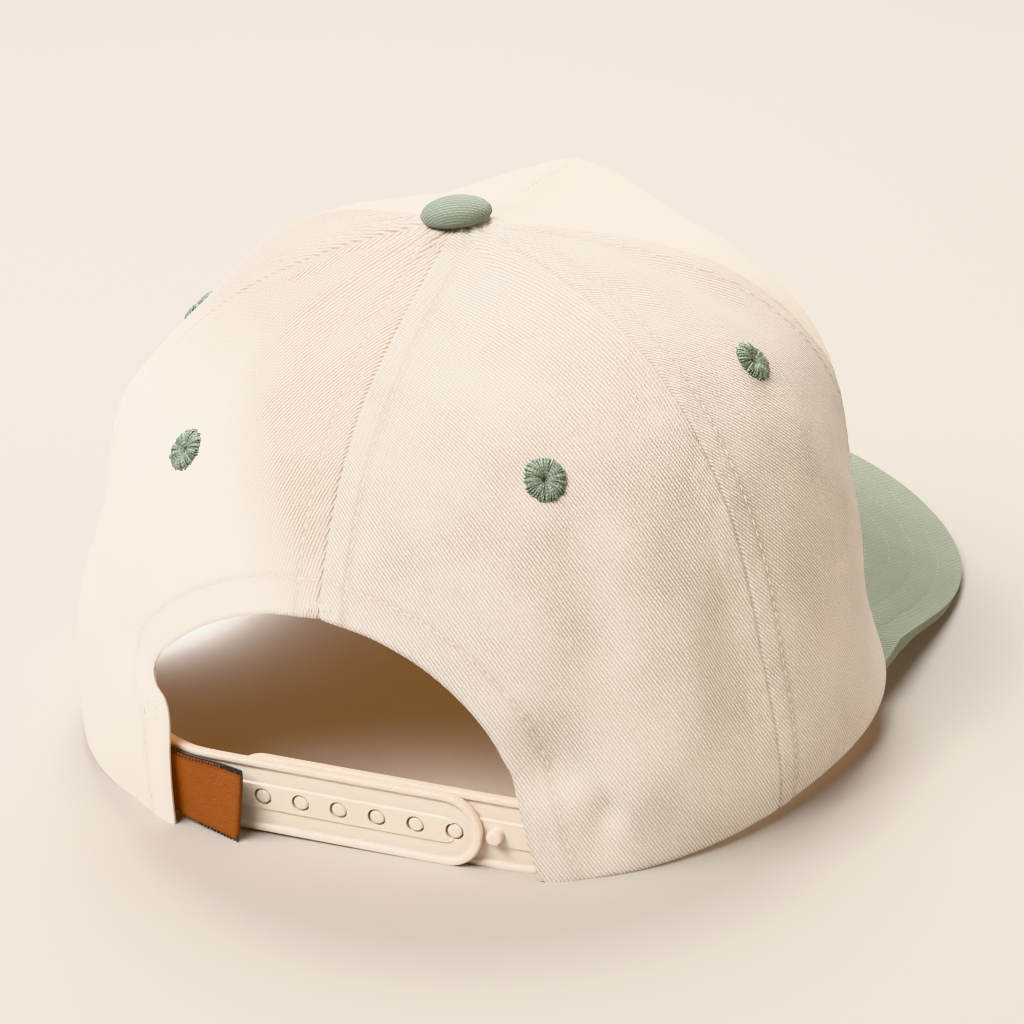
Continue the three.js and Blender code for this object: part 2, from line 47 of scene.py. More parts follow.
# Crown, as its solids have it but for the rounder corner at the opening's left
CROWN_HEIGHT = 119.3
CROWN_SHIFT = 2.3  # how far the button lies behind the middle of the lower edge
WALL = 1.8
TOP_HOLE = 3.2  # radius of the hole under the button
FRONT_RISE = 6  # of the lower edge at the front
RISE_FROM = 100  # azimuth where that rise starts
LEAN = math.radians(4.75)  # how far the cap leans back at rest
LOWERED = 1.9  # how far its rear edge is pressed down
ORIGIN_SHIFT = 39.3  # backwards, so that crown and peak together lie about the origin
SECTIONS = {  # distances out and heights of the sections' control points at azimuths 0, 60, 120 and 180
    "base": (98.6, 97.9, 97.8, 108.5),
    "out1": (95.1, 99.2, 86.1, 99.4),
    "up1": (31.7, 13.9, 36.2, 47.2),
    "out2": (95.2, 91.5, 100.7, 88.7),
    "up2": (94.7, 90.0, 95.7, 132.0),
    "out3": (61.6, 67.1, 73.6, 86.0),
    "up3": (101.5, 109.5, 110.0, 85.7),
}
CREASE_LIFT, CREASE_HALF, CREASE_POWER, CREASE_ROUND = 23, 30, 1.3, 1.2  # the front panel's ridge
BACK_SEAM = (0, 0)  # azimuth at the lower edge and at the top
REAR_SEAM = (65.3, 64.4)
FORE_SEAM = (123.0, 109.0)
FRONT_CREASE = (180, 180)
# The opening's edge from the middle of the back down to the foot, azimuths and rises
OPENING_RIGHT = ((0, .379), (8.8, .357), (16.4, .316), (22.4, .255), (25.7, .19), (26.6, .12), (28.4, 0))
OPENING_LEFT = ((0, .379), (9.6, .372), (18.5, .341), (25.3, .299), (27.9, .276), (28.6, .258), (27.9, .241),
                (25.6, .222), (24.6, .2), (24.3, .12), (24.0, 0))
ARCH_ROWS = {1: 4, -1: 5}  # rows of those tables down to the arch's corner
DENTS = (  # azimuth, rise, half width, half height, depth
    (31, .245, 4.5, .035, 1.8), (38, .36, 5, .09, 1.2), (57, .32, 4, .08, 1.3), (-35, .27, 4, .035, 1.3),
    (36.8, .12, 1.6, .05, .9), (100, .72, 5, .1, 1.5), (37, 0, 8, .05, -1), (74, 0, 12, .06, 2.2),
    (111, .33, 8, .06, .5), (124, .48, 7, .05, -1), (144, .6, 10, .06, 1.3), (180, .61, 8, .05, -1.3),
    (180, .77, 9, .05, .9), (-108, .74, 6, .04, -.8), (-92, .655, 9, .055, 2.5), (-73, .505, 7, .045, -1.9),
    (-66, .375, 7, .05, 1.8), (-60, .2, 8, .06, -.5), (-33, 0, 6, .06, 1.4),
)
FOLDS = (  # softer folds that only the cloth has, in the same form
    (62.5, .3, 4.6, .11, 2.1), (57, .385, 2.6, .045, -.7), (52, .31, 2.6, .05, -.9),
    (31.5, .193, 3.4, .03, 2.3), (28.5, .265, 4, .03, -.7), (38.5, .44, 3.6, .1, 1.2),
    (37.8, .128, 1, .022, 1.4), (42, .16, 3, .05, -.8), (104, .01, 12, .06, -1.9), (-45, .33, 5, .03, .7),
)

# Sewing
CROWN_STITCH = {"pitch": 2.7, "length": 2.2, "thread": .14, "bow": .11}
PEAK_STITCH = {"pitch": 2.9, "length": 2.4, "thread": .15, "bow": .07}
LEG_STITCH = {"pitch": 1.3, "length": 1.5, "thread": .17, "bow": .02}
LEG_EDGES = ((28.6, 35), (-24.6, -42))  # azimuths between which the dark thread shows
BAR_TACK = {"count": 15, "half_width": 1.6, "rise": .391, "zigzag": .004, "length": 2.2, "thread": .17,
            "bow": .16}
TAB_STITCH = {"length": 1.0, "thread": .16, "bow": .1}
SEAM_ROW = 5.6  # a stitch row's distance from its seam
CREASE_ROW = 2.4
HEM = 8.3  # distance of the hem's stitch row from the edge
SINK = {  # depth of each sewn line in the cloth, and its half width
    "seam": (.4, .45), "row": (.22, .45), "crease": (.35, .4), "crease row": (.1, .4),
    "hem": (.15, .45), "opening": (.5, .5), "foot": (.3, .5), "quilting": (.22, .6),
}
SHADE = {  # strength of the painted shade along each sewn line, and its half width
    "back seam": (.35, .4), "seam": (1, .4), "row": (1.3, .8), "opening": (.7, .45), "hem": (1, .8),
}
DOUBLED = {"lift": .2, "past": .5, "soft": .6}  # cloth that lies double out to just past a stitch row
BUTTON_SWELL = .7  # how much the cloth rises under the button
CALM_EDGE = 25  # distance from an edge at which the cloth's slight waves are whole
BACK_SEAM_REACH = .035  # in metres, how far the ribs stay clear beside the back seam
EYELETS = {
    "eyelet_back_right": (34.7, .583), "eyelet_back_left": (-34.0, .561),
    "eyelet_side_right": (88.4, .635), "eyelet_side_left": (-88.4, .635),
}
EYELET = {"threads": 66, "thread": (.15, .25), "tall": 1.07, "opening": 2.0, "ring": 2.85, "padding": 1.55,
          "flat": .42, "uneven": .025, "lift": (-.2, .14), "reach": (.95, 1.035), "twist": .06}
EYELET_PATH = (  # radius and height of a thread from the rim over the ring and down into the hole
    (4.65, -.4), (4.55, .2), (3.95, .72), (3.0, 1.0), (2.0, .85), (1.15, .3), (.6, -.6), (.5, -1.7),
)

# Peak, button, snap strap and leather tab, close to their solids
PEAK = {"middle": -30, "span": 92, "reach": (144.6, 141.7, 106.6, 91), "height": (.3, -11.4, -7.8, 2.5),
        "root": 107, "tuck": 4, "thick": 3, "gap": .3, "row": 8.5, "rows": 6, "puff": .12}
BUTTON = {"radius": 8.3, "dome": 4.0, "edge": 1.0, "low": .2, "lean": -1.7, "tip": 5, "under": 2.3,
          "pleats": 15, "place": (.85, CROWN_SHIFT + .3, CROWN_HEIGHT - .05)}
STRAP = {"plane": 84.6, "level": 9.95, "half": 8.9, "thick": 1.5, "rim": 1.7, "rim_lift": .55,
         "soft": .45, "band": 3.1, "band_lift": .35, "pitch": 9.2, "first": 18.7, "holes": 6, "pegs": 7,
         "hole": 2.15, "peg": 1.72, "tilt": .018, "tilt_from": -4}
OUTER_HALF = {"tip": -24.7, "end": 54, "round": 91.7, "back": .15}
INNER_HALF = {"tip": 18.7, "end": -58, "round": 95.6, "back": -2.15}
TAB = {"root": 43, "free": 22.8, "away": 2.5, "flare": 4.2, "wave": .35, "top": 17.2, "root_bottom": 1.8,
       "free_bottom": .9, "thick": 1.2, "soft_corner": .3, "splay": 2.3, "lift": 1.4, "long": 21, "wide": 16}


def lerp(a, b, t):
    return a + (b - a) * t


def around(values, span, angle):
    """Cosine series through values at equal steps over a half period."""
    last = len(values) - 1
    total = 0
    for wave in range(last + 1):
        weight = sum((0.5 if i in (0, last) else 1) * value * math.cos(math.pi * wave * i / last)
                     for i, value in enumerate(values))
        scale = (1 if wave in (0, last) else 2) / last
        total = total + scale * weight * np.cos(np.pi * wave * np.asarray(angle, float) / span)
    return total


def section(column, azimuth):
    return around(SECTIONS[column], 180, azimuth)


def crown_face(azimuth, rise):
    """Outer face of the smooth crown, before dents and before the cap leans back."""
    azimuth, rise = np.broadcast_arrays(np.asarray(azimuth, float), np.asarray(rise, float))
    share = [c * (1 - rise) ** (4 - i) * rise ** i for i, c in enumerate((1, 4, 6, 4, 1))]
    off_front = np.hypot(180 - np.abs(azimuth), CREASE_ROUND) / CREASE_HALF
    crease = CREASE_LIFT * np.clip(1 - off_front, 0, None) ** CREASE_POWER
    arch = np.clip((np.abs(azimuth) - RISE_FROM) / (180 - RISE_FROM), 0, None)
    edge_rise = FRONT_RISE * np.sin(arch * np.pi / 2) ** 2
    out = (share[0] * section("base", azimuth) + share[1] * section("out1", azimuth)
           + share[2] * section("out2", azimuth) + share[3] * section("out3", azimuth))
    up = (share[0] * edge_rise + share[1] * section("up1", azimuth) + share[2] * section("up2", azimuth)
          + share[3] * (section("up3", azimuth) + crease) + share[4] * CROWN_HEIGHT)
    angle = np.radians(azimuth)
    return np.stack([-np.sin(angle) * out, np.cos(angle) * out + CROWN_SHIFT * rise, up], -1)


def unit(vectors):
    return vectors / np.maximum(np.linalg.norm(vectors, axis=-1, keepdims=True), 1e-9)


def crown_normal(azimuth, rise):
    step = 0.002
    across = crown_face(azimuth - 100 * step, rise) - crown_face(azimuth + 100 * step, rise)
    along = crown_face(azimuth, rise + step) - crown_face(azimuth, rise - step)
    return unit(np.cross(along, across))


def dent(azimuth, rise, table=DENTS):
    total = 0
    for middle, height, wide, tall, depth in table:
        turn = (azimuth - middle + 540) % 360 - 180
        total = total + depth * np.exp(-((turn / wide) ** 2 + ((rise - height) / tall) ** 2) / 2)
    return total


def lean(vectors):
    x, y, z = np.moveaxis(np.asarray(vectors, float), -1, 0)
    return np.stack([x, y * math.cos(LEAN) + z * math.sin(LEAN), z * math.cos(LEAN) - y * math.sin(LEAN)], -1)


def settle(points):
    """Leans the cap back on its rear edge, lowers it and flattens what would reach under the surface."""
    pivot = np.array([0, SECTIONS["base"][0], 0])
    rested = lean(np.asarray(points, float) - pivot) + pivot + np.array([0, ORIGIN_SHIFT, -LOWERED])
    rested[..., 2] = np.maximum(rested[..., 2], 0)
    return rested


# Lengths along the crown from its lower edge, worked out once for every second degree
LENGTH_STEP, LENGTH_ROWS = 2, 200
FACE = crown_face(np.arange(0, 182, LENGTH_STEP)[:, None], np.linspace(0, 1, LENGTH_ROWS + 1)[None, :])
FACE_STEPS = np.linalg.norm(np.diff(FACE, axis=1), axis=-1)
LENGTHS = np.concatenate([np.zeros((len(FACE_STEPS), 1)), np.cumsum(FACE_STEPS, axis=1)], axis=1)


def length_up(azimuth, rise):
    """Length along the cloth from the lower edge up to a rise."""
    column = np.clip(np.abs(azimuth) / LENGTH_STEP, 0, len(LENGTHS) - 1.001)
    row = np.clip(np.asarray(rise, float) * LENGTH_ROWS, 0, LENGTH_ROWS - .001)
    column, row = np.broadcast_arrays(column, row)
    i, j = column.astype(int), row.astype(int)
    u, v = column - i, row - j
    low = lerp(LENGTHS[i, j], LENGTHS[i, j + 1], v)
    return lerp(low, lerp(LENGTHS[i + 1, j], LENGTHS[i + 1, j + 1], v), u)


def foot_rise(azimuth):
    """Rise where the cloth of the leg meets the surface that the cap rests on."""
    rises = np.linspace(0, .08, 81)
    pivot = SECTIONS["base"][0]
    feet = []
    for a in np.atleast_1d(azimuth):
        face = crown_face(a, rises) - crown_normal(a, rises) * dent(a, rises)[:, None]
        height = lean(face - np.array([0, pivot, 0]))[:, 2] - LOWERED
        feet.append(np.interp(0, height, rises) if height[0] < 0 else 0)
    return np.array(feet)


def smooth_line(points, count, samples=40):
    """Evenly spaced points on a centripetal Catmull-Rom curve through the given points."""
    p = np.asarray(points, float)
    p = np.vstack([2 * p[0] - p[1], p, 2 * p[-1] - p[-2]])
    dense = []
    for a, b, c, d in zip(p, p[1:], p[2:], p[3:]):
        knots = np.cumsum([0] + [np.linalg.norm(n - m) ** 0.5 for m, n in ((a, b), (b, c), (c, d))])
        t = np.linspace(knots[1], knots[2], samples, endpoint=False)[:, None]
        ab = lerp(a, b, (t - knots[0]) / (knots[1] - knots[0]))
        bc = lerp(b, c, (t - knots[1]) / (knots[2] - knots[1]))
        cd = lerp(c, d, (t - knots[2]) / (knots[3] - knots[2]))
        abc = lerp(ab, bc, (t - knots[0]) / (knots[2] - knots[0]))
        bcd = lerp(bc, cd, (t - knots[1]) / (knots[3] - knots[1]))
        dense.append(lerp(abc, bcd, (t - knots[1]) / (knots[2] - knots[1])))
    line = np.vstack(dense + [p[-2:-1]])
    return even(line, count)


def distance_along(line):
    return np.concatenate([[0], np.cumsum(np.linalg.norm(np.diff(line, axis=0), axis=1))])


def even(line, count):
    """Resamples a line to count + 1 points at equal distances."""
    run = distance_along(line)
    at = np.linspace(0, run[-1], count + 1)
    return np.stack([np.interp(at, run, line[:, k]) for k in range(line.shape[1])], -1)


def opening_rails(hand, arch_count, jamb_count):
    """Arch and jamb of one side of the opening, as shares of the back panel's width and rises."""
    table = OPENING_RIGHT if hand > 0 else OPENING_LEFT
    shares = [(azimuth / lerp(*REAR_SEAM, rise), rise) for azimuth, rise in table]
    corner = ARCH_ROWS[hand]
    return smooth_line(shares[:corner + 1], arch_count), smooth_line(shares[corner:], jamb_count)


def opening_edge(hand, detail=1):
    """The opening's edge from the middle of the back down to the foot: azimuths and rises."""
    arch, jamb = opening_rails(hand, 60 * detail, 40 * detail)
    line = np.vstack([arch, jamb[1:]])
    return np.stack([hand * line[:, 0] * lerp(*REAR_SEAM, line[:, 1]), line[:, 1]], -1)


EDGES = {hand: opening_edge(hand) for hand in (1, -1)}
EDGE_POINTS = np.vstack([crown_face(*opening_edge(hand, 5).T) for hand in (1, -1)])


def opening_distance(azimuth, rise):
    """Distance from the opening's edge, worked out where it matters and large elsewhere."""
    azimuth, rise = np.broadcast_arrays(np.asarray(azimuth, float), np.asarray(rise, float))
    far_off, at_once = 99.0, 1000
    distance = np.full(azimuth.shape, far_off)
    near = (np.abs(azimuth) < 55) & (rise < .62)
    points = crown_face(azimuth[near], rise[near])
    found = [np.linalg.norm(part[:, None] - EDGE_POINTS[None], axis=-1).min(axis=1)
             for part in np.array_split(points, max(1, len(points) // at_once)) if len(part)]
    if found:
        distance[near] = np.concatenate(found)
    return distance


def doubled(distance, row):
    """How proud the cloth stands that lies double out to a stitch row, with a soft step past it."""
    return DOUBLED["lift"] * (.5 - .5 * np.tanh((distance - (row + DOUBLED["past"])) / DOUBLED["soft"]))


def sewn_line(kind, distance, table=SINK):
    """Depth or darkness of a sewn line at a distance from its middle."""
    strength, width = table[kind]
    return strength * np.exp(-(distance / width) ** 2)


def seam_offset(seam, azimuth, rise):
    """Distance round the crown from a seam, + towards larger azimuths."""
    face = crown_face(azimuth, rise)
    radius = np.hypot(face[..., 0], face[..., 1] - CROWN_SHIFT * rise)
    return np.radians(np.abs(azimuth) - lerp(*seam, rise)) * radius


def crown_seams(azimuth, rise):
    """Distances from the back, rear and fore seams."""
    return [seam_offset(seam, azimuth, rise) for seam in (BACK_SEAM, REAR_SEAM, FORE_SEAM)]


def relief(azimuth, rise):
    """What the sewing lifts and sinks in the cloth, + outwards."""
    azimuth, rise = np.broadcast_arrays(np.asarray(azimuth, float), np.asarray(rise, float))
    back, rear, fore = crown_seams(azimuth, rise)
    front = seam_offset(FRONT_CREASE, azimuth, rise)
    up = length_up(azimuth, rise)
    edge = opening_distance(azimuth, rise)
    lift = 0
    for offset, rows in ((back, (1, -1)), (rear, (1,)), (fore, (-1,))):
        pucker = 1 + .5 * np.sin(up * 1.05 + 2.1 * np.sin(up * .23)) * np.sin(up * .31 + azimuth)
        lift = lift - sewn_line("seam", offset) + doubled(np.abs(offset), SEAM_ROW) * pucker
        for side in rows:
            lift = lift - sewn_line("row", offset - side * SEAM_ROW)
    pressed = sewn_line("crease", front) + sewn_line("crease row", np.abs(front) - CREASE_ROW)
    lift = lift - np.clip((rise - .7) / .05, 0, 1) * pressed
    flat_by_button = np.clip((.985 - rise) / .04, 0, 1)
    lift = lift * flat_by_button + BUTTON_SWELL * np.clip((rise - .95) / .03, 0, 1)
    lift = lift + doubled(edge, HEM) - sewn_line("hem", edge - HEM) - sewn_line("opening", edge)
    lift = lift - sewn_line("foot", up) - dent(azimuth, rise, FOLDS)
    turn = np.radians(azimuth)
    swell = np.sin(12 * turn + 3 * rise + 1) * np.sin(rise * 19 + 3 * turn)
    ripple = np.sin(27 * turn - rise * 11) * np.sin(rise * 31 + 7 * turn + 2)
    return lift + (.32 * swell + .13 * ripple) * np.clip(np.minimum(edge, up) / CALM_EDGE, 0, 1)


def painted_seam_shade(azimuth, rise):
    """Painted shade: how much darker the cloth is drawn in its seams, along its rows of stitches and at the
    opening's edge.
    """
    back, rear, fore = crown_seams(azimuth, rise)
    edge = opening_distance(azimuth, rise)
    shade = sewn_line("back seam", back, SHADE)
    shade = shade + sewn_line("seam", rear, SHADE) + sewn_line("seam", fore, SHADE)
    for from_row in (np.abs(back) - SEAM_ROW, rear - SEAM_ROW, fore + SEAM_ROW):
        shade = shade + sewn_line("row", from_row, SHADE)
    shade = shade * np.clip((.96 - rise) / .05, 0, 1)
    shade = shade + sewn_line("opening", edge, SHADE) + sewn_line("hem", edge - HEM, SHADE)
    return np.clip(shade, 0, 1)


def cloth(azimuth, rise):
    """Point of the finished outer face, settled."""
    normal = crown_normal(azimuth, rise)
    proud = relief(azimuth, rise) - dent(azimuth, rise)
    return settle(crown_face(azimuth, rise) + normal * proud[..., None])


# Mesh making

def only(piece):
    bpy.ops.object.select_all(action="DESELECT")
    piece.select_set(True)
    bpy.context.view_layer.objects.active = piece


def add_modifier(piece, kind, **settings):
    modifier = piece.modifiers.new(kind, kind)
    for name, value in settings.items():
        setattr(modifier, name, value)


def apply_modifiers(piece):
    only(piece)
    for modifier in list(piece.modifiers):
        bpy.ops.object.modifier_apply(modifier=modifier.name)


def coordinates(piece):
    values = np.empty(len(piece.data.vertices) * 3)
    piece.data.vertices.foreach_get("co", values)
    return values.reshape(-1, 3)


def place(piece, points):
    """Moves every vertex to a point given in millimetres."""
    piece.data.vertices.foreach_set("co", (np.asarray(points, float) * MM).ravel())
    piece.data.update()


def keep_off_floor(piece):
    points = coordinates(piece) / MM
    points[:, 2] = np.maximum(points[:, 2], 0)
    place(piece, points)


def new_piece(name):
    piece = bpy.context.object
    piece.name = name
    piece.data.name = name
    return piece


def grid_piece(name, columns, rows):
    """A plane of quads, and each vertex's column and row."""
    bpy.ops.object.select_all(action="DESELECT")
    bpy.ops.mesh.primitive_grid_add(x_subdivisions=columns, y_subdivisions=rows, size=2)
    piece = new_piece(name)
    flat = coordinates(piece)
    column = np.rint((flat[:, 0] + 1) / 2 * columns).astype(int)
    row = np.rint((flat[:, 1] + 1) / 2 * rows).astype(int)
    return piece, column, row


def write_uv(piece, uv):
    """Gives the piece's own UV map in millimetres."""
    corners = np.empty(len(piece.data.loops), int)
    piece.data.loops.foreach_get("vertex_index", corners)
    layer = piece.data.uv_layers.active or piece.data.uv_layers.new()
    layer.name = "Cloth"
    layer.data.foreach_set("uv", np.asarray(uv, float)[corners].ravel())


def edit_whole(piece, operator, **settings):
    """Runs one of edit mode's operators on all of a piece."""
    only(piece)
    bpy.ops.object.mode_set(mode="EDIT")
    bpy.ops.mesh.select_all(action="SELECT")
    operator(**settings)
    bpy.ops.object.mode_set(mode="OBJECT")


def face_away(piece, middle):
    """Turns an open sheet so that its faces point away from a middle point."""
    centres = np.array([face.center for face in piece.data.polygons])
    normals = np.array([face.normal for face in piece.data.polygons])
    if ((centres - np.array(middle) * MM) * normals).sum() < 0:
        edit_whole(piece, bpy.ops.mesh.flip_normals)


def face_along(piece, axis):
    """Turns an open sheet so that its faces point along an axis, 1 for Y and 2 for Z."""
    if np.mean([face.normal[axis] for face in piece.data.polygons]) < 0:
        edit_whole(piece, bpy.ops.mesh.flip_normals)


def merge(piece, distance):
    edit_whole(piece, bpy.ops.mesh.remove_doubles, threshold=distance * MM)


def outside_normals(piece):
    edit_whole(piece, bpy.ops.mesh.normals_make_consistent, inside=False)


def join(pieces, name):
    only(pieces[0])
    for piece in pieces[1:]:
        piece.select_set(True)
    bpy.ops.object.join()
    return new_piece(name)


def put_in_scene(name, data):
    """A new object at the origin."""
    thing = bpy.data.objects.new(name, data)
    bpy.context.scene.collection.objects.link(thing)
    return thing


def thread_piece(name, points, faces):
    """A smooth piece from many threads' points and faces."""
    mesh = bpy.data.meshes.new(name)
    mesh.from_pydata((points * MM).tolist(), [], faces)
    piece = put_in_scene(name, mesh)
    outside_normals(piece)
    bpy.ops.object.shade_smooth()
    return piece


def smooth(piece, angle):
    only(piece)
    bpy.ops.object.shade_smooth_by_angle(angle=math.radians(angle))


def dress(piece, materials, nodes=()):
    if not piece.data.materials:
        for material in materials:
            piece.data.materials.append(material)
    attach(piece, "root")
    for node in nodes:
        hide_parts(node)


def crowded_ends(count, pull=.72):
    """Shares from 0 to 1 that lie closer together at both ends."""
    t = np.linspace(0, 1, count + 1)
    return t - pull * np.sin(2 * np.pi * t) / (2 * np.pi)


def hem_rows(hem_share, count):
    """Shares from 0 to 1 with close rows up to the hem's stitching and even rows above it."""
    hem = np.linspace(0, hem_share, HEM_ROWS + 1)
    return np.concatenate([hem[:-1], np.linspace(hem_share, 1, count + 1)])


# Crown

TOP_EASE = .3  # how much the grain of side and back panels narrows towards the button
EDGE_WALL, EDGE_ROLL = .3, 7.0  # share of the wall left at the opening's pressed edge, and where it is whole
HEM_ROWS = 24
SIDE_GRID = {"columns": 96, "hem": .078, "rows": 130}
FRONT_GRID = {"half": 80, "hem": .07, "rows": 130}
BACK_GRID = {"arch": 62, "leg": 58, "hem": .115, "rows": 92, "leg_rows": 44}


def top_rise(azimuth):
    return 1 - TOP_HOLE / (4 * section("out3", azimuth))


def sheet_on_crown(name, azimuth, rise, middle_azimuth, ease=0.0):
    """A sheet of the crown from arrays of azimuths and rises, with a UV map along the cloth."""
    columns, rows = azimuth.shape[0] - 1, azimuth.shape[1] - 1
    piece, column, row = grid_piece(name, columns, rows)
    place(piece, cloth(azimuth, rise)[column, row])
    face = crown_face(azimuth, rise)
    radius = np.hypot(face[..., 0], face[..., 1] - CROWN_SHIFT * rise)
    eased = 1 - ease * np.clip((rise - .6) / .3, 0, 1)
    u = np.radians(azimuth - middle_azimuth) * radius * eased
    v = length_up(azimuth, rise)
    write_uv(piece, np.stack([u, v], -1)[column, row])
    # Painted shade along the seams, stitch rows and opening edge, kept on each vertex for the cloth's colour
    shade = piece.data.attributes.new("Painted seam shade", "FLOAT", "POINT")
    shade.data.foreach_set("value", painted_seam_shade(azimuth, rise)[column, row])
    wall = lerp(EDGE_WALL, 1, np.clip(opening_distance(azimuth, rise) / EDGE_ROLL, 0, 1) ** 2)
    group = piece.vertex_groups.new(name="Wall")
    for vertex, share in enumerate(wall[column, row].tolist()):
        group.add([vertex], share, "REPLACE")
    return piece


def open_eyelet(piece, eyelet):
    """Cuts the cloth away under an eyelet's threads."""
    centre = cloth(*(np.array(value) for value in EYELETS[eyelet])) * MM
    near = np.linalg.norm(coordinates(piece) - centre, axis=1) < EYELET["opening"] * MM
    only(piece)
    bpy.ops.object.mode_set(mode="EDIT")
    bpy.ops.mesh.select_mode(type="VERT")
    bpy.ops.mesh.select_all(action="DESELECT")
    bpy.ops.object.mode_set(mode="OBJECT")
    piece.data.vertices.foreach_set("select", near)
    bpy.ops.object.mode_set(mode="EDIT")
    bpy.ops.mesh.delete(type="VERT")
    bpy.ops.object.mode_set(mode="OBJECT")


def finish_cloth(piece, node, materials, eyelet=None):
    if eyelet:
        open_eyelet(piece, eyelet)
    for material in materials:
        piece.data.materials.append(material)
    face_away(piece, (0, ORIGIN_SHIFT, 50))
    add_modifier(piece, "SOLIDIFY", thickness=WALL * MM, offset=-1, material_offset=1, vertex_group="Wall")
    apply_modifiers(piece)
    keep_off_floor(piece)
    smooth(piece, 60)
    dress(piece, materials, (node,))


def side_panel(hand, materials):
    across = crowded_ends(SIDE_GRID["columns"])
    up = hem_rows(SIDE_GRID["hem"], SIDE_GRID["rows"])
    node = "crown_side_right" if hand > 0 else "crown_side_left"
    rise = up[None, :] * top_rise(lerp(REAR_SEAM[0], FORE_SEAM[0], across))[:, None]
    azimuth = lerp(lerp(*REAR_SEAM, rise), lerp(*FORE_SEAM, rise), across[:, None])
    middle = (lerp(*REAR_SEAM, rise) + lerp(*FORE_SEAM, rise)) / 2
    piece = sheet_on_crown(node + "_cloth", hand * azimuth, rise, hand * middle, TOP_EASE)
    finish_cloth(piece, node, materials, node.replace("crown", "eyelet"))


def front_panel(materials):
    half = crowded_ends(FRONT_GRID["half"])
    across = np.concatenate([half, 2 - half[-2::-1]])
    up = hem_rows(FRONT_GRID["hem"], FRONT_GRID["rows"])
    inward = np.where(across <= 1, across, 2 - across)
    rise = up[None, :] * top_rise(lerp(FORE_SEAM[0], 180, inward))[:, None]
    azimuth = lerp(lerp(*FORE_SEAM, rise), 180, inward[:, None])
    azimuth = np.where(across[:, None] <= 1, azimuth, 360 - azimuth)
    signed = np.where(azimuth > 180, azimuth - 360, azimuth)
    piece = sheet_on_crown("crown_front_cloth", signed, rise, np.where(azimuth > 180, -180.0, 180.0))
    finish_cloth(piece, "crown_front", materials)


def back_panel(hand, materials):
    """The sheet above the arch and its leg beside the arch, joined where they meet."""
    turn = BACK_GRID["arch"]
    arch, jamb = opening_rails(hand, turn, BACK_GRID["leg_rows"])
    crowd = crowded_ends(turn + BACK_GRID["leg"])
    arch_share = crowd[:turn + 1] / crowd[turn]
    leg_share = (crowd[turn:] - crowd[turn]) / (1 - crowd[turn])
    even_share = np.linspace(0, 1, len(arch))
    arch_line = np.stack([np.interp(arch_share, even_share, arch[:, k]) for k in (0, 1)], -1)
    corner = arch[-1]
    leg_line = np.stack([lerp(corner[0], 1, leg_share), np.full(len(leg_share), corner[1])], -1)
    lower = np.vstack([arch_line, leg_line[1:]])
    up = hem_rows(BACK_GRID["hem"], BACK_GRID["rows"])
    share = lerp(lower[:, :1], crowd[:, None], up[None, :])
    top = top_rise(crowd * REAR_SEAM[0])[:, None]
    rise = lerp(lower[:, 1:], top, up[None, :])
    parts = [(share, rise)]
    climb = jamb[::-1]
    share = lerp(climb[None, :, 0], 1, leg_share[:, None])
    drop = (climb[:, 1] / corner[1])[None, :]
    foot = foot_rise(hand * share[:, 0] * REAR_SEAM[0])[:, None]
    parts.append((share, lerp(foot, corner[1], drop)))
    side = "right" if hand > 0 else "left"
    sheets = []
    for share, rise in parts:
        seam = lerp(*REAR_SEAM, rise)
        sheets.append(sheet_on_crown("part", hand * share * seam, rise, hand * seam / 2, TOP_EASE))
    piece = join(sheets, f"crown_back_{side}_cloth")
    merge(piece, .02)
    finish_cloth(piece, f"crown_back_{side}", materials, f"eyelet_back_{side}")


# Stitches

STITCH_WANDER = .05  # spread of the stitches' places along a row
ROW_ENDS = (.012, .955)  # rises between which a seam's rows run


def stitch_shape():
    """One stitch along X, 2 long: a thread that bows up from the cloth and dives in at both ends."""
    bpy.ops.object.select_all(action="DESELECT")
    bpy.ops.mesh.primitive_uv_sphere_add(segments=6, ring_count=7, radius=1)
    bpy.ops.transform.rotate(value=math.pi / 2, orient_axis="Y", center_override=(0, 0, 0))
    bpy.ops.object.transform_apply(location=True, rotation=True, scale=True)
    stitch = bpy.context.object
    points = coordinates(stitch)
    faces = [tuple(face.vertices) for face in stitch.data.polygons]
    bpy.data.objects.remove(stitch)
    return points, faces


def strands(name, shape, middles, along, normals, size):
    """Copies of a stitch at many places, each with its own direction, as one mesh."""
    points, faces = shape
    along = unit(along)[:, None]
    across = unit(np.cross(normals[:, None], along))
    above = np.cross(along, across)
    x, y, z = (points[:, [k]] for k in range(3))
    out = z * size["thread"] + size["bow"] * (1 - 2.2 * x ** 2)
    places = middles[:, None] + x * size["length"] / 2 * along + y * size["thread"] * across + out * above
    places[..., 2] = np.maximum(places[..., 2], 0)
    all_faces = [tuple(v + k * len(points) for v in face) for k in range(len(middles)) for face in faces]
    return thread_piece(name, places.reshape(-1, 3), all_faces)


def along_line(points, normals, pitch, seed):
    """Middles, directions and normals at every pitch along a line of surface points."""
    run = distance_along(points)
    count = max(1, int(run[-1] / pitch))
    random = np.random.default_rng(seed)
    at = (np.arange(count) + .5) * run[-1] / count + random.normal(0, STITCH_WANDER, count)

    def pick(values, where):
        return np.stack([np.interp(where, run, values[:, k]) for k in range(3)], -1)

    return pick(points, at), pick(points, at + .5) - pick(points, at - .5), unit(pick(normals, at))


def crown_row(azimuth, rise):
    """Surface points and normals along a row on the crown."""
    return cloth(azimuth, rise), lean(crown_normal(azimuth, rise))


def seam_row(seam, hand, offset, low, high):
    rise = np.linspace(low, high, 160)
    azimuth = lerp(*seam, rise)
    face = crown_face(azimuth, rise)
    radius = np.hypot(face[:, 0], face[:, 1] - CROWN_SHIFT * rise)
    return crown_row(hand * (azimuth + np.degrees(offset / radius)), rise)


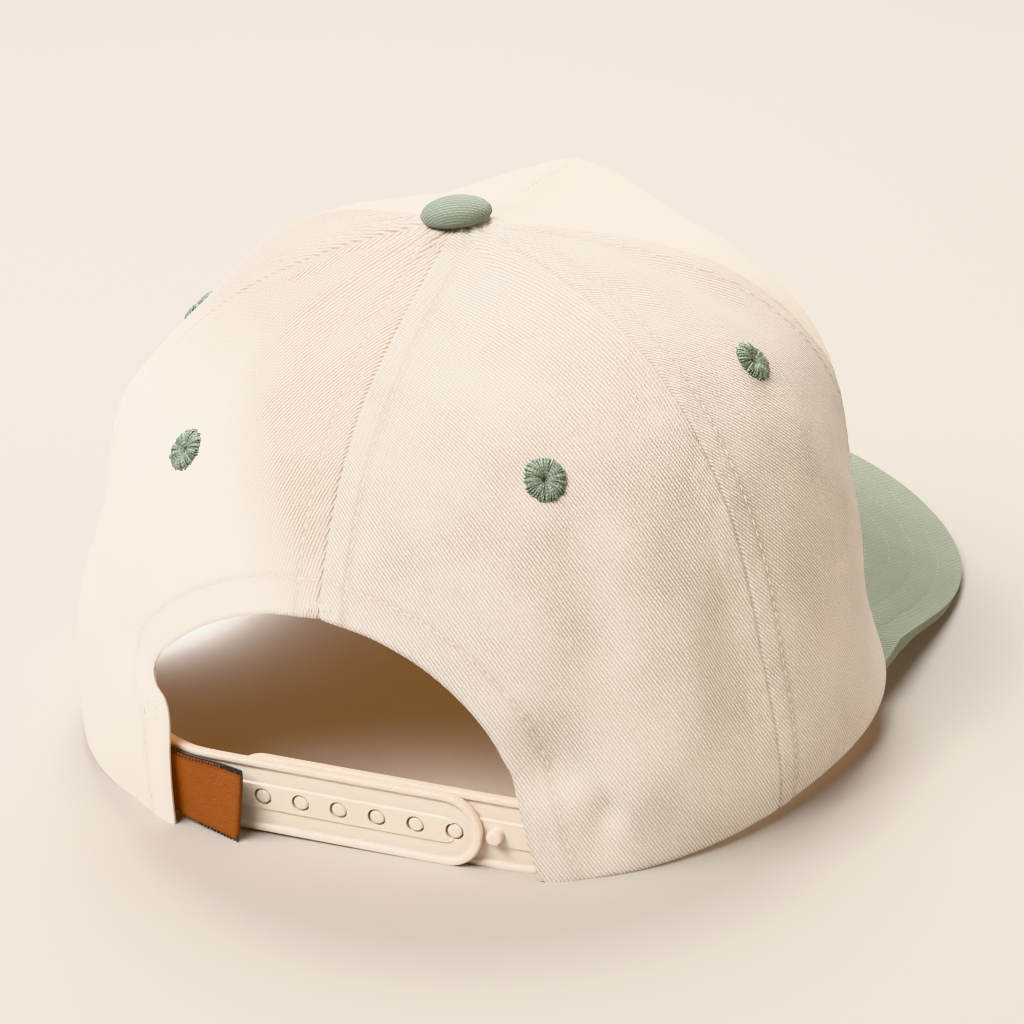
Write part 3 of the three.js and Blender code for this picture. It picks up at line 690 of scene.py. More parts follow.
def inset_from_opening(hand, distance):
    """The opening's edge moved into the cloth by a distance, along the surface."""
    azimuth, rise = EDGES[hand].T
    steps = 8
    for _ in range(steps):
        points = crown_face(azimuth, rise)
        tangent = np.gradient(points, axis=0)
        outward = unit(np.cross(crown_normal(azimuth, rise), tangent)) * hand
        by_azimuth = (crown_face(azimuth + .1, rise) - crown_face(azimuth - .1, rise)) / .2
        by_rise = (crown_face(azimuth, rise + .001) - crown_face(azimuth, rise - .001)) / .002
        aa, rr, ar = (by_azimuth ** 2).sum(1), (by_rise ** 2).sum(1), (by_azimuth * by_rise).sum(1)
        pa, pr = (outward * by_azimuth).sum(1), (outward * by_rise).sum(1)
        solve = aa * rr - ar ** 2
        azimuth = azimuth + distance / steps * (pa * rr - pr * ar) / solve
        rise = rise + distance / steps * (pr * aa - pa * ar) / solve
    keep = (hand * azimuth > 0) & (rise > ROW_ENDS[0])
    return crown_row(azimuth[keep], rise[keep])


def stitch_rows(name, shape, rows, material, size):
    found = [along_line(points, normals, size["pitch"], seed) for seed, (points, normals) in enumerate(rows)]
    middles, directions, normals = (np.vstack(values) for values in zip(*found))
    piece = strands(name, shape, middles, directions, normals, size)
    dress(piece, [material])


def crown_stitching(shape, thread):
    rows = [seam_row(BACK_SEAM, 1, offset, .405, ROW_ENDS[1]) for offset in (SEAM_ROW, -SEAM_ROW)]
    for hand in (1, -1):
        rows.append(seam_row(REAR_SEAM, hand, SEAM_ROW, *ROW_ENDS))
        rows.append(seam_row(FORE_SEAM, hand, -SEAM_ROW, *ROW_ENDS))
        rows.append(seam_row(FRONT_CREASE, hand, -CREASE_ROW, .72, .95))
    stitch_rows("seam_stitches", shape, rows, thread, CROWN_STITCH)
    rows = [inset_from_opening(hand, HEM) for hand in (1, -1)]
    stitch_rows("hem_stitches", shape, rows, thread, CROWN_STITCH)


def bar_tack(shape, thread):
    """Close stitches that lock the seam just over the arch."""
    azimuth = np.linspace(-BAR_TACK["half_width"], BAR_TACK["half_width"], BAR_TACK["count"])
    rise = BAR_TACK["rise"] + BAR_TACK["zigzag"] * (np.arange(BAR_TACK["count"]) % 2)
    points, normals = crown_row(azimuth, rise)
    upward = cloth(azimuth, rise + .01) - points
    piece = strands("bar_tack", shape, points, upward, normals, BAR_TACK)
    dress(piece, [thread])


def foot_thread(shape, material):
    """Dark thread that shows along the cut lower edges of both legs."""
    set_in, height = .35, .22
    rows = []
    for start, end in LEG_EDGES:
        azimuth = np.linspace(start, end, 60)
        points, normals = crown_row(azimuth, foot_rise(azimuth) + .004)
        points = points - normals * set_in
        points[:, 2] = height
        rows.append((points, normals))
    stitch_rows("leg_edge_thread", shape, rows, material, LEG_STITCH)


# Eyelets: threads worked from the rim into the hole

def eyelet_frame(azimuth, rise):
    """Middle of an eyelet on the cloth, and its directions right, up and out."""
    where = np.array(azimuth, float), np.array(rise, float)
    up = cloth(where[0], where[1] + .01) - cloth(where[0], where[1] - .01)
    right = cloth(where[0] + .5, where[1]) - cloth(where[0] - .5, where[1])
    normal = unit(np.cross(right, up))
    if (normal * lean(crown_normal(*where))).sum() < 0:
        normal = -normal
    right = unit(right)
    return cloth(*where), np.stack([right, EYELET["tall"] * np.cross(normal, right), normal])


def eyelet_threads(node, azimuth, rise, materials, seed):
    """Threads laid close beside each other round an eyelet, each a little loose, on a padded ring that is
    coloured near black as painted shade between the threads.
    """
    name = node + "_threads"
    random = np.random.default_rng(seed)
    path = np.array(EYELET_PATH)
    sides, count = 6, EYELET["threads"]
    turn = np.linspace(0, 2 * np.pi, sides, endpoint=False)
    tangent = unit(np.gradient(path, axis=0))
    over = np.stack([-tangent[:, 1], tangent[:, 0]], -1)
    over = np.where(over[:, 1:] < 0, -over, over)
    run = distance_along(path)
    points, faces, uv = [], [], []
    angles = np.arange(count) / count * 2 * np.pi + random.normal(0, EYELET["uneven"], count)
    for strand, angle in enumerate(angles):
        thick = random.uniform(*EYELET["thread"])
        lift = random.uniform(*EYELET["lift"])
        reach = random.uniform(*EYELET["reach"])
        twist = random.normal(0, EYELET["twist"])
        for k, (r, h) in enumerate(path):
            swing = angle + twist * (1 - k / 3)
            out = np.array([math.cos(swing), math.sin(swing), 0])
            side = np.array([-math.sin(swing), math.cos(swing), 0])
            width = thick * (1 if r > 2.6 else .6)
            middle = out * r * (reach if k < 3 else 1) + np.array([0, 0, h + lift * (k in (1, 2, 3, 4))])
            proud = out * over[k, 0] + np.array([0, 0, over[k, 1]])
            for t in turn:
                points.append(middle + side * width * math.cos(t) + proud * thick * .85 * math.sin(t))
                uv.append((run[k], strand + t / (2 * math.pi) * .5))
        base = len(points) - len(path) * sides
        for k in range(len(path) - 1):
            for s in range(sides):
                a, b = base + k * sides + s, base + k * sides + (s + 1) % sides
                faces.append((a, b, b + sides, a + sides))
        faces.append(tuple(base + s for s in range(sides))[::-1])
        faces.append(tuple(base + (len(path) - 1) * sides + s for s in range(sides)))
    centre, axes = eyelet_frame(azimuth, rise)
    piece = thread_piece(name, centre + np.array(points) @ axes, faces)
    write_uv(piece, uv)
    ring = eyelet_bed(name + "_bed", centre, axes)
    piece.data.materials.append(materials[0])
    # Painted shade: the ring's near-black thread shows in the gaps between the threads
    ring.data.materials.append(materials[1])
    whole = join([piece, ring], name)
    dress(whole, materials, (node,))


def eyelet_bed(name, centre, axes):
    """The padded ring under the threads."""
    bpy.ops.object.select_all(action="DESELECT")
    bpy.ops.mesh.primitive_torus_add(major_segments=40, minor_segments=12, major_radius=EYELET["ring"],
                                     minor_radius=EYELET["padding"])
    ring = new_piece(name)
    points = coordinates(ring)
    points[:, 2] *= EYELET["flat"]
    place(ring, centre + points @ axes)
    only(ring)
    bpy.ops.object.shade_smooth()
    return ring


# Button

def button(materials):
    bpy.ops.object.select_all(action="DESELECT")
    bpy.ops.mesh.primitive_uv_sphere_add(segments=96, ring_count=48, radius=1)
    piece = new_piece("button_cover")
    ball = coordinates(piece)
    flat = np.hypot(ball[:, 0], ball[:, 1])
    angle = np.arctan2(ball[:, 1], ball[:, 0])
    above = ball[:, 2] > 0
    pleat = 1 + .007 * np.sin(BUTTON["pleats"] * angle + 2 * np.sin(3 * angle)) * flat ** 6
    dome = BUTTON["dome"] * np.clip(ball[:, 2], 0, 1) ** .92
    height = BUTTON["low"] + BUTTON["edge"] + np.where(above, dome, ball[:, 2] * BUTTON["under"])
    radius = BUTTON["radius"] * np.where(above, flat, flat ** .75) * pleat
    cover = np.stack([radius * np.cos(angle), radius * np.sin(angle), height], -1)
    lean_turn, tip_turn = math.radians(BUTTON["lean"]), math.radians(BUTTON["tip"])
    spin = np.array(Matrix.Rotation(tip_turn, 3, "Y") @ Matrix.Rotation(-lean_turn, 3, "X"))
    place(piece, settle(cover @ spin.T + np.array(BUTTON["place"])))
    dome_angle = np.arctan2(flat, ball[:, 2])
    reach = dome_angle * BUTTON["radius"] * .8
    write_uv(piece, np.stack([reach * np.cos(angle), reach * np.sin(angle)], -1))
    smooth(piece, 70)
    dress(piece, materials, ("button",))


# Peak

def peak_place(across, out):
    """Point of the peak's upper face: across is -1 to 1 from corner to corner, out is 0 at the crown.

    The second value is the distance in from the outer edge.
    """
    angle = across * PEAK["span"]
    azimuth = 180 - np.abs(across) * (180 - PEAK["root"])
    hand = np.where(across < 0, -1.0, 1.0)
    edge = crown_face(hand * azimuth, 0)
    inner = edge - crown_normal(hand * azimuth, 0) * (WALL + dent(hand * azimuth, 0))[..., None]
    reach = np.hypot(edge[..., 0], edge[..., 1])
    root = edge * ((reach - PEAK["tuck"]) / reach)[..., None]
    root[..., 2] = np.minimum(edge[..., 2], inner[..., 2]) - PEAK["gap"]
    far = around(PEAK["reach"], PEAK["span"], angle)
    tip = np.stack([-far * np.sin(np.radians(angle)), PEAK["middle"] - far * np.cos(np.radians(angle)),
                    around(PEAK["height"], PEAK["span"], angle)], -1)
    length = np.linalg.norm(root - tip, axis=-1)
    level = PEAK["tuck"] / np.maximum(length, PEAK["tuck"])
    fall = np.clip((out - level) / (1 - level + 1e-6), 0, None)
    point = lerp(root, tip, out[..., None])
    point[..., 2] = lerp(root[..., 2], np.minimum(tip[..., 2], root[..., 2]), fall)
    return point, (1 - out) * length


def peak_cloth(across, out):
    """The peak's upper face, quilted between its rows of stitches and slightly wavy."""
    point, inward = peak_place(across, out)
    row = inward / PEAK["row"]
    quilted = np.clip(1.5 - np.abs(row - PEAK["rows"] / 2 - .2) / (PEAK["rows"] / 2), 0, 1)
    dip = sewn_line("quilting", (row - np.rint(row)) * PEAK["row"]) * (np.rint(row) > .5)
    point[..., 2] += PEAK["puff"] * quilted - dip * quilted
    point[..., 2] += PEAK["puff"] * np.sin(across * 23 + out * 5) * np.sin(out * 9 + across * 7)
    return settle(point)


def peak(materials):
    columns, rows = 200, 96
    across = np.linspace(-1, 1, columns + 1)[:, None] * np.ones(rows + 1)[None, :]
    out = np.linspace(0, 1, rows + 1)[None, :] * np.ones(columns + 1)[:, None]
    piece, column, row = grid_piece("peak_cloth", columns, rows)
    points = peak_cloth(across, out)
    place(piece, points[column, row])
    write_uv(piece, points[column, row][:, :2])
    face_along(piece, 2)
    add_modifier(piece, "SOLIDIFY", thickness=PEAK["thick"] * MM, offset=-1)
    add_modifier(piece, "BEVEL", width=1.1 * MM, segments=4, limit_method="ANGLE",
                 angle_limit=math.radians(60))
    apply_modifiers(piece)
    keep_off_floor(piece)
    smooth(piece, 60)
    dress(piece, materials, ("peak",))


def peak_rows(shape, thread):
    """Rows that follow the peak's edge and end near the crown."""
    rows = []
    across = np.linspace(-1, 1, 700)
    length = peak_place(across, np.zeros(len(across)))[1]
    nearest, shortest = .09, 8
    for k in range(1, PEAK["rows"] + 1):
        out = 1 - k * PEAK["row"] / length
        changes = np.where(np.diff((out > nearest).astype(int)))[0] + 1
        for part in np.split(np.arange(len(across)), changes):
            if out[part[0]] > nearest and len(part) > shortest:
                points = peak_cloth(across[part], out[part])
                rows.append((points, np.tile([0, 0, 1.0], (len(part), 1))))
    stitch_rows("peak_stitches", shape, rows, thread, PEAK_STITCH)


# Snap strap

def strap_face(x, half):
    """How far back the face where the halves meet lies: flat in the middle, bending off towards the legs."""
    along = np.clip(x * np.sign(half["end"]), 0, half["round"] - 1)
    bend = np.sqrt(half["round"] ** 2 - along ** 2)
    return (STRAP["plane"] + bend - np.hypot(STRAP["plane"] - bend, 1.2)) / 2


def strap_level(x):
    """Height of the row of holes, which falls towards the wearer's right."""
    return STRAP["level"] + STRAP["tilt"] * (x - STRAP["tilt_from"])


def strap_point(x, up, out, half):
    """A point of a half: x along, up from the row of holes, out from the face where the halves meet."""
    step = .05
    slope = (strap_face(x + step, half) - strap_face(x - step, half)) / (2 * step)
    length = np.hypot(slope, 1)
    return settle(np.stack([x - out * slope / length, strap_face(x, half) + out / length,
                            strap_level(x) + up], -1))


def strap_profile():
    """Section of a half from its middle line over the rim to the back: distance out to the edge, height."""
    half, thick, band, soft = STRAP["half"], STRAP["thick"], STRAP["band"], STRAP["soft"]
    inner, top, proud = half - STRAP["rim"], thick + STRAP["rim_lift"], thick + STRAP["band_lift"]
    middle = [(0, proud), (band * .5, proud), (band - .1, proud), (band + .05, thick + .08),
              (band + .2, thick - .06), (band + .5, thick), (inner - .8, thick)]
    ridge = [(inner - .3, thick - .1), (inner, thick + .02), (inner + .3, top - .08), (inner + .55, top)]
    corner = [(half - soft * (1 - math.sin(turn)), top - soft * (1 - math.cos(turn)))
              for turn in np.linspace(0, 1.5, 5)]
    back = [(half, .4), (half - .1, .1), (half - .4, 0), (band, 0), (0, 0)]
    return np.array(middle + ridge + corner + back)


def strap_half(name, half, node, materials, holes):
    """A tongue with a round tip: its section is led along one edge, round the tip and back."""
    profile = strap_profile()
    run = np.sign(half["end"] - half["tip"])
    count = 64
    straight = np.linspace(half["end"], half["tip"], count)
    angles = np.radians(np.linspace(90, 270, 37))
    x = np.concatenate([straight, np.full(len(angles) - 2, half["tip"]), straight[::-1]])
    angle = np.concatenate([np.full(count, angles[0]), angles[1:-1], np.full(count, angles[-1])])
    piece, column, row = grid_piece(name, len(x) - 1, len(profile) - 1)
    off, out = profile[row, 0], profile[row, 1]
    place(piece, strap_point(x[column] + run * off * np.cos(angle[column]), off * np.sin(angle[column]),
                             half["back"] + out, half))
    merge(piece, .01)
    edit_whole(piece, bpy.ops.mesh.fill_holes, sides=0)
    outside_normals(piece)
    count = STRAP["holes"] if holes else STRAP["pegs"]
    pins = [pin(f"pin_{i}", STRAP["first"] - i * STRAP["pitch"], holes) for i in range(count)]
    if holes:
        cutter = join(pins, "cutter")
        add_modifier(piece, "BOOLEAN", object=cutter, solver="EXACT")
        apply_modifiers(piece)
        bpy.data.objects.remove(cutter)
    else:
        piece = join([piece] + pins, name)
    smooth(piece, 40)
    dress(piece, materials, (node,))


def pin(name, x, cutter):
    """A hole's cutter, or a peg with a rounded head; the peg past the last hole stands a little taller."""
    radius = STRAP["hole"] if cutter else STRAP["peg"]
    low, high = (-1, 4) if cutter else (INNER_HALF["back"] + .6, STRAP["thick"] + .3)
    bpy.ops.object.select_all(action="DESELECT")
    bpy.ops.mesh.primitive_cylinder_add(vertices=36, radius=radius, depth=high - low)
    piece = new_piece(name)
    if not cutter:
        add_modifier(piece, "BEVEL", width=.55, segments=4, limit_method="ANGLE")
        apply_modifiers(piece)
    points = coordinates(piece)
    out = points[:, 2] + (low + high) / 2
    if not cutter and x < STRAP["first"] - (STRAP["holes"] - .5) * STRAP["pitch"]:
        out = out + np.clip(points[:, 2], 0, None) * .25
    up = strap_level(x) + points[:, 1]
    place(piece, settle(np.stack([x + points[:, 0], STRAP["plane"] + out, up], -1)))
    outside_normals(piece)
    return piece


# Leather tab

def tab_point(along, up, out):
    """A point of the tab: along 0 at the leg and 1 at the free end, up 0 to 1, out from its back."""
    x = lerp(TAB["root"], TAB["free"], along) - TAB["splay"] * up * np.clip(along, 0, None) ** 1.5
    bottom = lerp(TAB["root_bottom"], TAB["free_bottom"], np.clip(along, 0, 1) ** 1.5)
    away = TAB["away"] + TAB["flare"] * np.clip(along, 0, None) ** 2
    wave = TAB["wave"] * np.sin(along * 5 + 1) * (up - .5)
    top = TAB["top"] + TAB["lift"] * np.clip(along, 0, None)
    return strap_point(x, lerp(bottom, top, up) - STRAP["level"], away + out + wave, OUTER_HALF)


def tab_sheet(name, grow, low, thick, materials, node=()):
    """One layer of the tab; grow is the share of the height by which it shows above and below."""
    columns, rows = 44, 34
    piece, column, row = grid_piece(name, columns, rows)
    along = -.02 + 1.02 * column / columns
    up = -grow + (1 + 2 * grow) * row / rows
    along = along - TAB["soft_corner"] * np.clip(along - .94, 0, None) * (2 * up - 1) ** 6
    place(piece, tab_point(along, up, np.full(len(up), low + thick)))
    write_uv(piece, np.stack([along * TAB["long"], up * TAB["wide"]], -1))
    face_along(piece, 1)
    add_modifier(piece, "SOLIDIFY", thickness=thick * MM, offset=-1)
    add_modifier(piece, "BEVEL", width=min(.3, thick * .4) * MM, segments=3, limit_method="ANGLE",
                 angle_limit=math.radians(50))
    apply_modifiers(piece)
    keep_off_floor(piece)
    smooth(piece, 50)
    dress(piece, materials, node)


def tab_edge_threads(shape, material):
    """Black whip stitches that lap over the tab's upper edge, and bunch at its free corners."""
    random = np.random.default_rng(5)
    starts = [(share, 1.0, 0, -1) for share in np.linspace(.04, .7, 20)]
    starts += [(share, level, 0, -1) for share in np.linspace(.74, 1.0, 16) for level in (1.0, 1.03)]
    starts += [(share, 0.0, 0, 1) for share in np.linspace(.5, 1.0, 12)]
    starts += [(1.0, share, 1, 0) for share in (.02, .06, .9, .94, .98)]
    step, face = .02, np.array([TAB["thick"] - .05])
    middles, directions, normals = [], [], []
    for along, up, out_along, in_up in starts:
        a, u = np.array([along]), np.array([up])
        here = tab_point(a, u, face)[0]
        lap = tab_point(a + step * out_along + .008 * random.normal(), u - step * in_up, face)[0] - here
        outwards = tab_point(a, u, face + .5)[0] - here
        middles.append(here - unit(lap) * .1 + unit(outwards) * .02)
        directions.append(lap)
        normals.append(outwards)
    places = (np.array(values) for values in (middles, directions, normals))
    piece = strands("tab_edge_threads", shape, *places, TAB_STITCH)
    dress(piece, [material])


# Shader maths: a value wraps a socket, so that patterns read as expressions

class Value:
    def __init__(self, finish, socket):
        self.finish = finish
        self.socket = socket

    def maths(self, operation, *others, clamp=False):
        inputs = dict(enumerate((self,) + others))
        return self.finish.add("ShaderNodeMath", {"operation": operation, "use_clamp": clamp}, inputs)

    def __add__(self, other):
        return self.maths("ADD", other)

    def __mul__(self, other):
        return self.maths("MULTIPLY", other)

    def __sub__(self, other):
        return self.maths("SUBTRACT", other)

    def __rsub__(self, other):
        return (self * -1) + other

    def sine(self):
        return self.maths("SINE")

    def size(self):
        return self.maths("ABSOLUTE")

    def clamped(self):
        return self.maths("ADD", 0.0, clamp=True)


class Finish:
    """The node tree of one material."""

    def __init__(self, name):
        self.material = bpy.data.materials.new(name)
        self.material.use_nodes = True
        self.tree = self.material.node_tree
        self.shader = self.tree.nodes["Principled BSDF"]

    def add(self, kind, settings=None, inputs=None, output=0):
        node = self.tree.nodes.new(kind)
        for key, value in (settings or {}).items():
            setattr(node, key, value)
        for key, value in (inputs or {}).items():
            self.put(node.inputs[key], value)
        return Value(self, node.outputs[output])

    def put(self, socket, value):
        if isinstance(value, Value):
            self.tree.links.new(value.socket, socket)
        elif isinstance(value, tuple) and len(value) == 3 and socket.type == "RGBA":
            socket.default_value = (*value, 1)
        else:
            socket.default_value = value

    def uv(self):
        return self.add("ShaderNodeUVMap", {"uv_map": "Cloth"})

    def place(self):
        return self.add("ShaderNodeTexCoord", output=3)

    def parts(self, vector):
        node = self.add("ShaderNodeSeparateXYZ", None, {0: vector}).socket.node
        return [Value(self, socket) for socket in node.outputs]

    def noise(self, vector, scale, detail=2.0, rough=.5):
        inputs = {"Vector": vector, "Scale": scale, "Detail": detail, "Roughness": rough}
        return self.add("ShaderNodeTexNoise", None, inputs)

    def blend(self, share, first, second, mode="MIX"):
        settings = {"data_type": "RGBA", "blend_type": mode}
        return self.add("ShaderNodeMix", settings, {0: share, 6: first, 7: second}, 2)

    def bump(self, height, strength, distance):
        inputs = {"Height": height, "Strength": strength, "Distance": distance}
        return self.add("ShaderNodeBump", None, inputs)

    def set(self, **values):
        for name, value in values.items():
            self.put(self.shader.inputs[name.replace("_", " ")], value)
        return self.material


RIB_WANDER = .75  # how far a rib strays from its line, as a share of the pitch
YARN_PITCH, YARN_RELIEF = 1.35, .34  # the crossing yarns' pitch and depth, as shares of the ribs'


def waves(position, pitch):
    """0 to 1 and back over each pitch."""
    return (position * (2 * math.pi / pitch)).sine() * .5 + .5


def twill_height(u, v, degrees, pitch, noise):
    """Diagonal ribs of twill, broken up by the yarns that cross them. 0 in a furrow, 1 on a rib."""
    turn = math.radians(degrees)
    across = v * math.cos(turn) - u * math.sin(turn)
    along = u * math.cos(turn) + v * math.sin(turn)
    rib = waves(across + noise * (pitch * RIB_WANDER), pitch)
    yarn = waves(along + across * .5, pitch * YARN_PITCH)
    return rib * (yarn * YARN_RELIEF + (1 - YARN_RELIEF))


def cream_twill(name, degrees, furrow, ribs, fade, tones, pitch=.79, lowered=0.0):
    """Cream twill whose furrows are painted darker, as painted shade in place of the shade that falls in
    them, and which takes painted shade along its seams.

    The ribs show by two shares, below and above two heights, and fade between. Beside the back seam the fade
    is lowered by up to the length given.
    """
    finish = Finish(name)
    uv = finish.uv()
    u, v, _ = finish.parts(uv)
    slub = finish.noise(uv, .8, 3.0, .6)
    soft = finish.noise(uv, .05, 3.0)
    grain = finish.noise(uv, 5.0, 2.0)
    sideways, _, _ = finish.parts(finish.place())
    near_seam = (1.0 - sideways.size() * (1 / BACK_SEAM_REACH)).clamped() * lowered
    above = ((v + near_seam - fade[0]) * (1 / (fade[1] - fade[0]))).clamped()
    clear = (above * (ribs[1] - ribs[0]) + ribs[0]) * (soft * .8 + .6)
    height = twill_height(u, v, degrees, pitch, slub)
    tone = finish.blend(soft, *tones)
    # Painted shade: the furrows are multiplied darker; the same shares that set the bump set how strongly
    painted_furrow_shade = finish.blend(1.0, tone, furrow, "MULTIPLY")
    ribbed = finish.blend((height - 1.0) * clear + 1.0, painted_furrow_shade, tone)
    # Painted shade: blended towards dark brown in the seams, along the stitch rows and at the opening's edge
    seam = finish.add("ShaderNodeAttribute", {"attribute_name": "Painted seam shade"}, output=2)
    colour = finish.blend(seam * (grain * .4 + .2), ribbed, (.42, .35, .29))
    surface = (height * .85 + grain * .25) * clear
    return finish.set(Base_Color=colour, Roughness=.92, Normal=finish.bump(surface, .9, .0003),
                      Sheen_Weight=.12, Sheen_Roughness=.5)


def inside_twill():
    """The wrong side of the cloth. Its colour is painted warm orange as painted shade and paler towards the
    top and the wearer's left as painted light, and it emits a faint warm light, painted light that stands in
    for the light that comes through the cloth.
    """
    finish = Finish("crown_inside")
    where = finish.place()
    x, _, z = finish.parts(where)
    grain = finish.noise(where, 900.0, 2.0)
    weave = ((x + z) * 5200.0).sine() * .5 + .5
    # Painted light and shade: warm orange in the shade, paler and greyer towards the top and the wearer's
    # left
    lit = ((z * 11.0 + x * 7.0) - .62).clamped()
    tone = finish.blend(lit, (.88, .72, .52), (.90, .84, .76))
    colour = finish.blend(grain * .3, tone, (.78, .62, .44))
    # Painted light: a faint warm emission, though the cloth is no lamp
    painted_glow = finish.blend(weave * .3, (1.0, .54, .23), (.85, .46, .2))
    return finish.set(Base_Color=colour, Roughness=.95, Normal=finish.bump(weave + grain, .3, .0002),
                      Emission_Color=painted_glow, Emission_Strength=.165)


def sage_twill(name, degrees, tones, pitch=.95):
    """Sage twill with painted shade in its furrows and painted highlights, light flecks, on its ribs."""
    finish = Finish(name)
    uv = finish.uv()
    u, v, _ = finish.parts(uv)
    slub = finish.noise(uv, .9, 3.0, .6)
    soft = finish.noise(uv, .08, 3.0)
    grain = finish.noise(uv, 6.0, 2.0)
    height = twill_height(u, v, degrees, pitch, slub)
    tone = finish.blend(soft, *tones)
    # Painted shade: the furrows are multiplied darker
    colour = finish.blend(height, finish.blend(1.0, tone, (.66, .70, .66), "MULTIPLY"), tone)
    # Painted highlights: light flecks where the ribs stand highest
    painted_rib_highlights = finish.blend((height * slub - .42).clamped() * 1.2, colour, (.56, .61, .51))
    surface = height * .8 + grain * .3
    return finish.set(Base_Color=painted_rib_highlights, Roughness=.9, Normal=finish.bump(surface, .8, .0003),
                      Sheen_Weight=.3, Sheen_Roughness=.45)


def sewing_thread(name, low, high):
    finish = Finish(name)
    where = finish.place()
    fibre = finish.noise(where, 1500.0, 3.0, .7)
    ply = finish.noise(where, 330.0, 2.0)
    colour = finish.blend(fibre * .5 + ply * .5, low, high)
    return finish.set(Base_Color=colour, Roughness=.6, Normal=finish.bump(fibre, .5, .00015),
                      Sheen_Weight=.15)


def eyelet_thread():
    """Lustrous sage thread: each strand has its own tone, partly random and partly painted light, from
    near-black painted shade to pale painted highlight, and its twist shows in painted light and dark bands.
    """
    finish = Finish("sage_thread")
    u, v, _ = finish.parts(finish.uv())
    own = finish.noise(finish.add("ShaderNodeCombineXYZ", None, {0: v * 3.1, 1: u * .25}), 1.0, 1.0)
    twist = (u * 9.0 + v * 12.6).sine() * .5 + .5
    fibre = finish.noise(finish.place(), 2600.0, 2.0, .7)
    # Painted light and shade: the strands' tones spread wide, dark ones as painted shade and pale ones as
    # painted highlights; the twist adds painted bands
    tone = ((own - .5) * 1.7 + .42 + (twist - .5) * .35 + (fibre - .5) * .5).clamped()
    colour = finish.blend(tone, (.05, .08, .053), (.42, .485, .39))
    return finish.set(Base_Color=colour, Roughness=.4, Normal=finish.bump(twist + fibre, .6, .00012),
                      Sheen_Weight=.1)


def moulded_plastic():
    """Cream plastic, slightly cloudy and lit from within."""
    finish = Finish("strap_plastic")
    where = finish.place()
    cloud = finish.noise(where, 55.0, 3.0)
    grain = finish.noise(where, 2600.0, 2.0)
    colour = finish.blend(cloud, (.765, .675, .57), (.81, .725, .63))
    rough = cloud * .12 + .36
    return finish.set(Base_Color=colour, Roughness=rough, Normal=finish.bump(grain, .08, .0001),
                      Subsurface_Weight=.25, Subsurface_Radius=(.004, .0022, .0011), Subsurface_Scale=.5)


def tab_leather():
    """Tan leather with flecks and pores, darker along its edges."""
    finish = Finish("tan_leather")
    uv = finish.uv()
    u, v, _ = finish.parts(uv)
    cloud = finish.noise(uv, .22, 4.0, .6)
    grain = finish.noise(uv, 2.3, 5.0, .75)
    pores = finish.add("ShaderNodeTexVoronoi", {"feature": "F1"}, {"Vector": uv, "Scale": 3.2})
    tone = finish.blend(cloud, (.155, .04, .012), (.27, .08, .024))
    fleck = ((grain - .5) * 2.2 + .5).clamped()
    colour = finish.blend(fleck * .6, tone, (.44, .16, .055))
    ends = ((u * (1 / TAB["long"]) - .5).size() * 2 - .86).clamped() * 4.5
    sides = ((v * (1 / TAB["wide"]) - .5).size() * 2 - .84).clamped() * 4.0
    dark = finish.blend(((ends + sides) * (cloud * .8 + .5)).clamped(), colour, (.13, .04, .015))
    return finish.set(Base_Color=dark, Roughness=grain * .2 + .55,
                      Normal=finish.bump(grain * .7 + pores * .3, .7, .0005), Specular_IOR_Level=.2)


def floor_finish():
    """Matt pale paper, painted a little darker towards the camera: painted shade where the light falls off.
    """
    finish = Finish("pale_floor")
    where = finish.place()
    x, y, _ = finish.parts(where)
    cloud = finish.noise(where, .8, 2.0)
    colour = finish.blend(cloud, (.425, .392, .36), (.445, .41, .378))
    view = math.radians(CAMERA_AZIMUTH)
    # Painted shade: darker towards the camera
    nearer = (y * math.sin(view) + x * math.cos(view) + .1).clamped()
    painted_falloff_shade = finish.blend((nearer * 3.2).clamped(), colour, (.375, .345, .318))
    return finish.set(Base_Color=painted_falloff_shade, Roughness=.9)


# Studio

CAMERA = {"turn": 201.899, "up": 19.714, "distance": 746.245, "right": 6.668, "raise": -8.588, "roll": -.3768,
          "focal_pixels": 3113.43, "image": 1024, "sensor": 36}
CAMERA_AZIMUTH = 111.9  # of the camera round the cap, from +X
LIGHT_DISTANCE, LIGHT_SIZE, AIM_HEIGHT = 1.9, 1.0, .05  # in metres, like the strips' sizes
LIGHTS = (  # degrees to the left of the camera's line of sight, degrees up, power and colour
    ("key", 67, 50, 30, (.99, .965, .95)), ("second_key", 38, 46, 35, (1.0, .98, .96)),
    ("window", 100, 12, 5, (1.0, .97, .93)), ("back", 180, 55, 49, (.98, .98, .97)),
    ("fill", -57, 28, 19, (1.0, .85, .69)),
)
RIM_LIGHT = {"azimuths": (-84.0, -128.0), "power": .028, "off": 2, "colour": (.90, .96, 1.0)}
OPENING_LIGHT = {"middle": (-.028, .091, .024), "size": (.060, .014), "power": .0052,
                 "colour": (1.0, .95, .88)}


def stand(spot, x, y, z):
    """Matrix that puts an object at a spot, with its own axes along the given ones."""
    return Matrix.Translation(tuple(spot)) @ Matrix(np.stack([x, y, z], -1).tolist()).to_4x4()


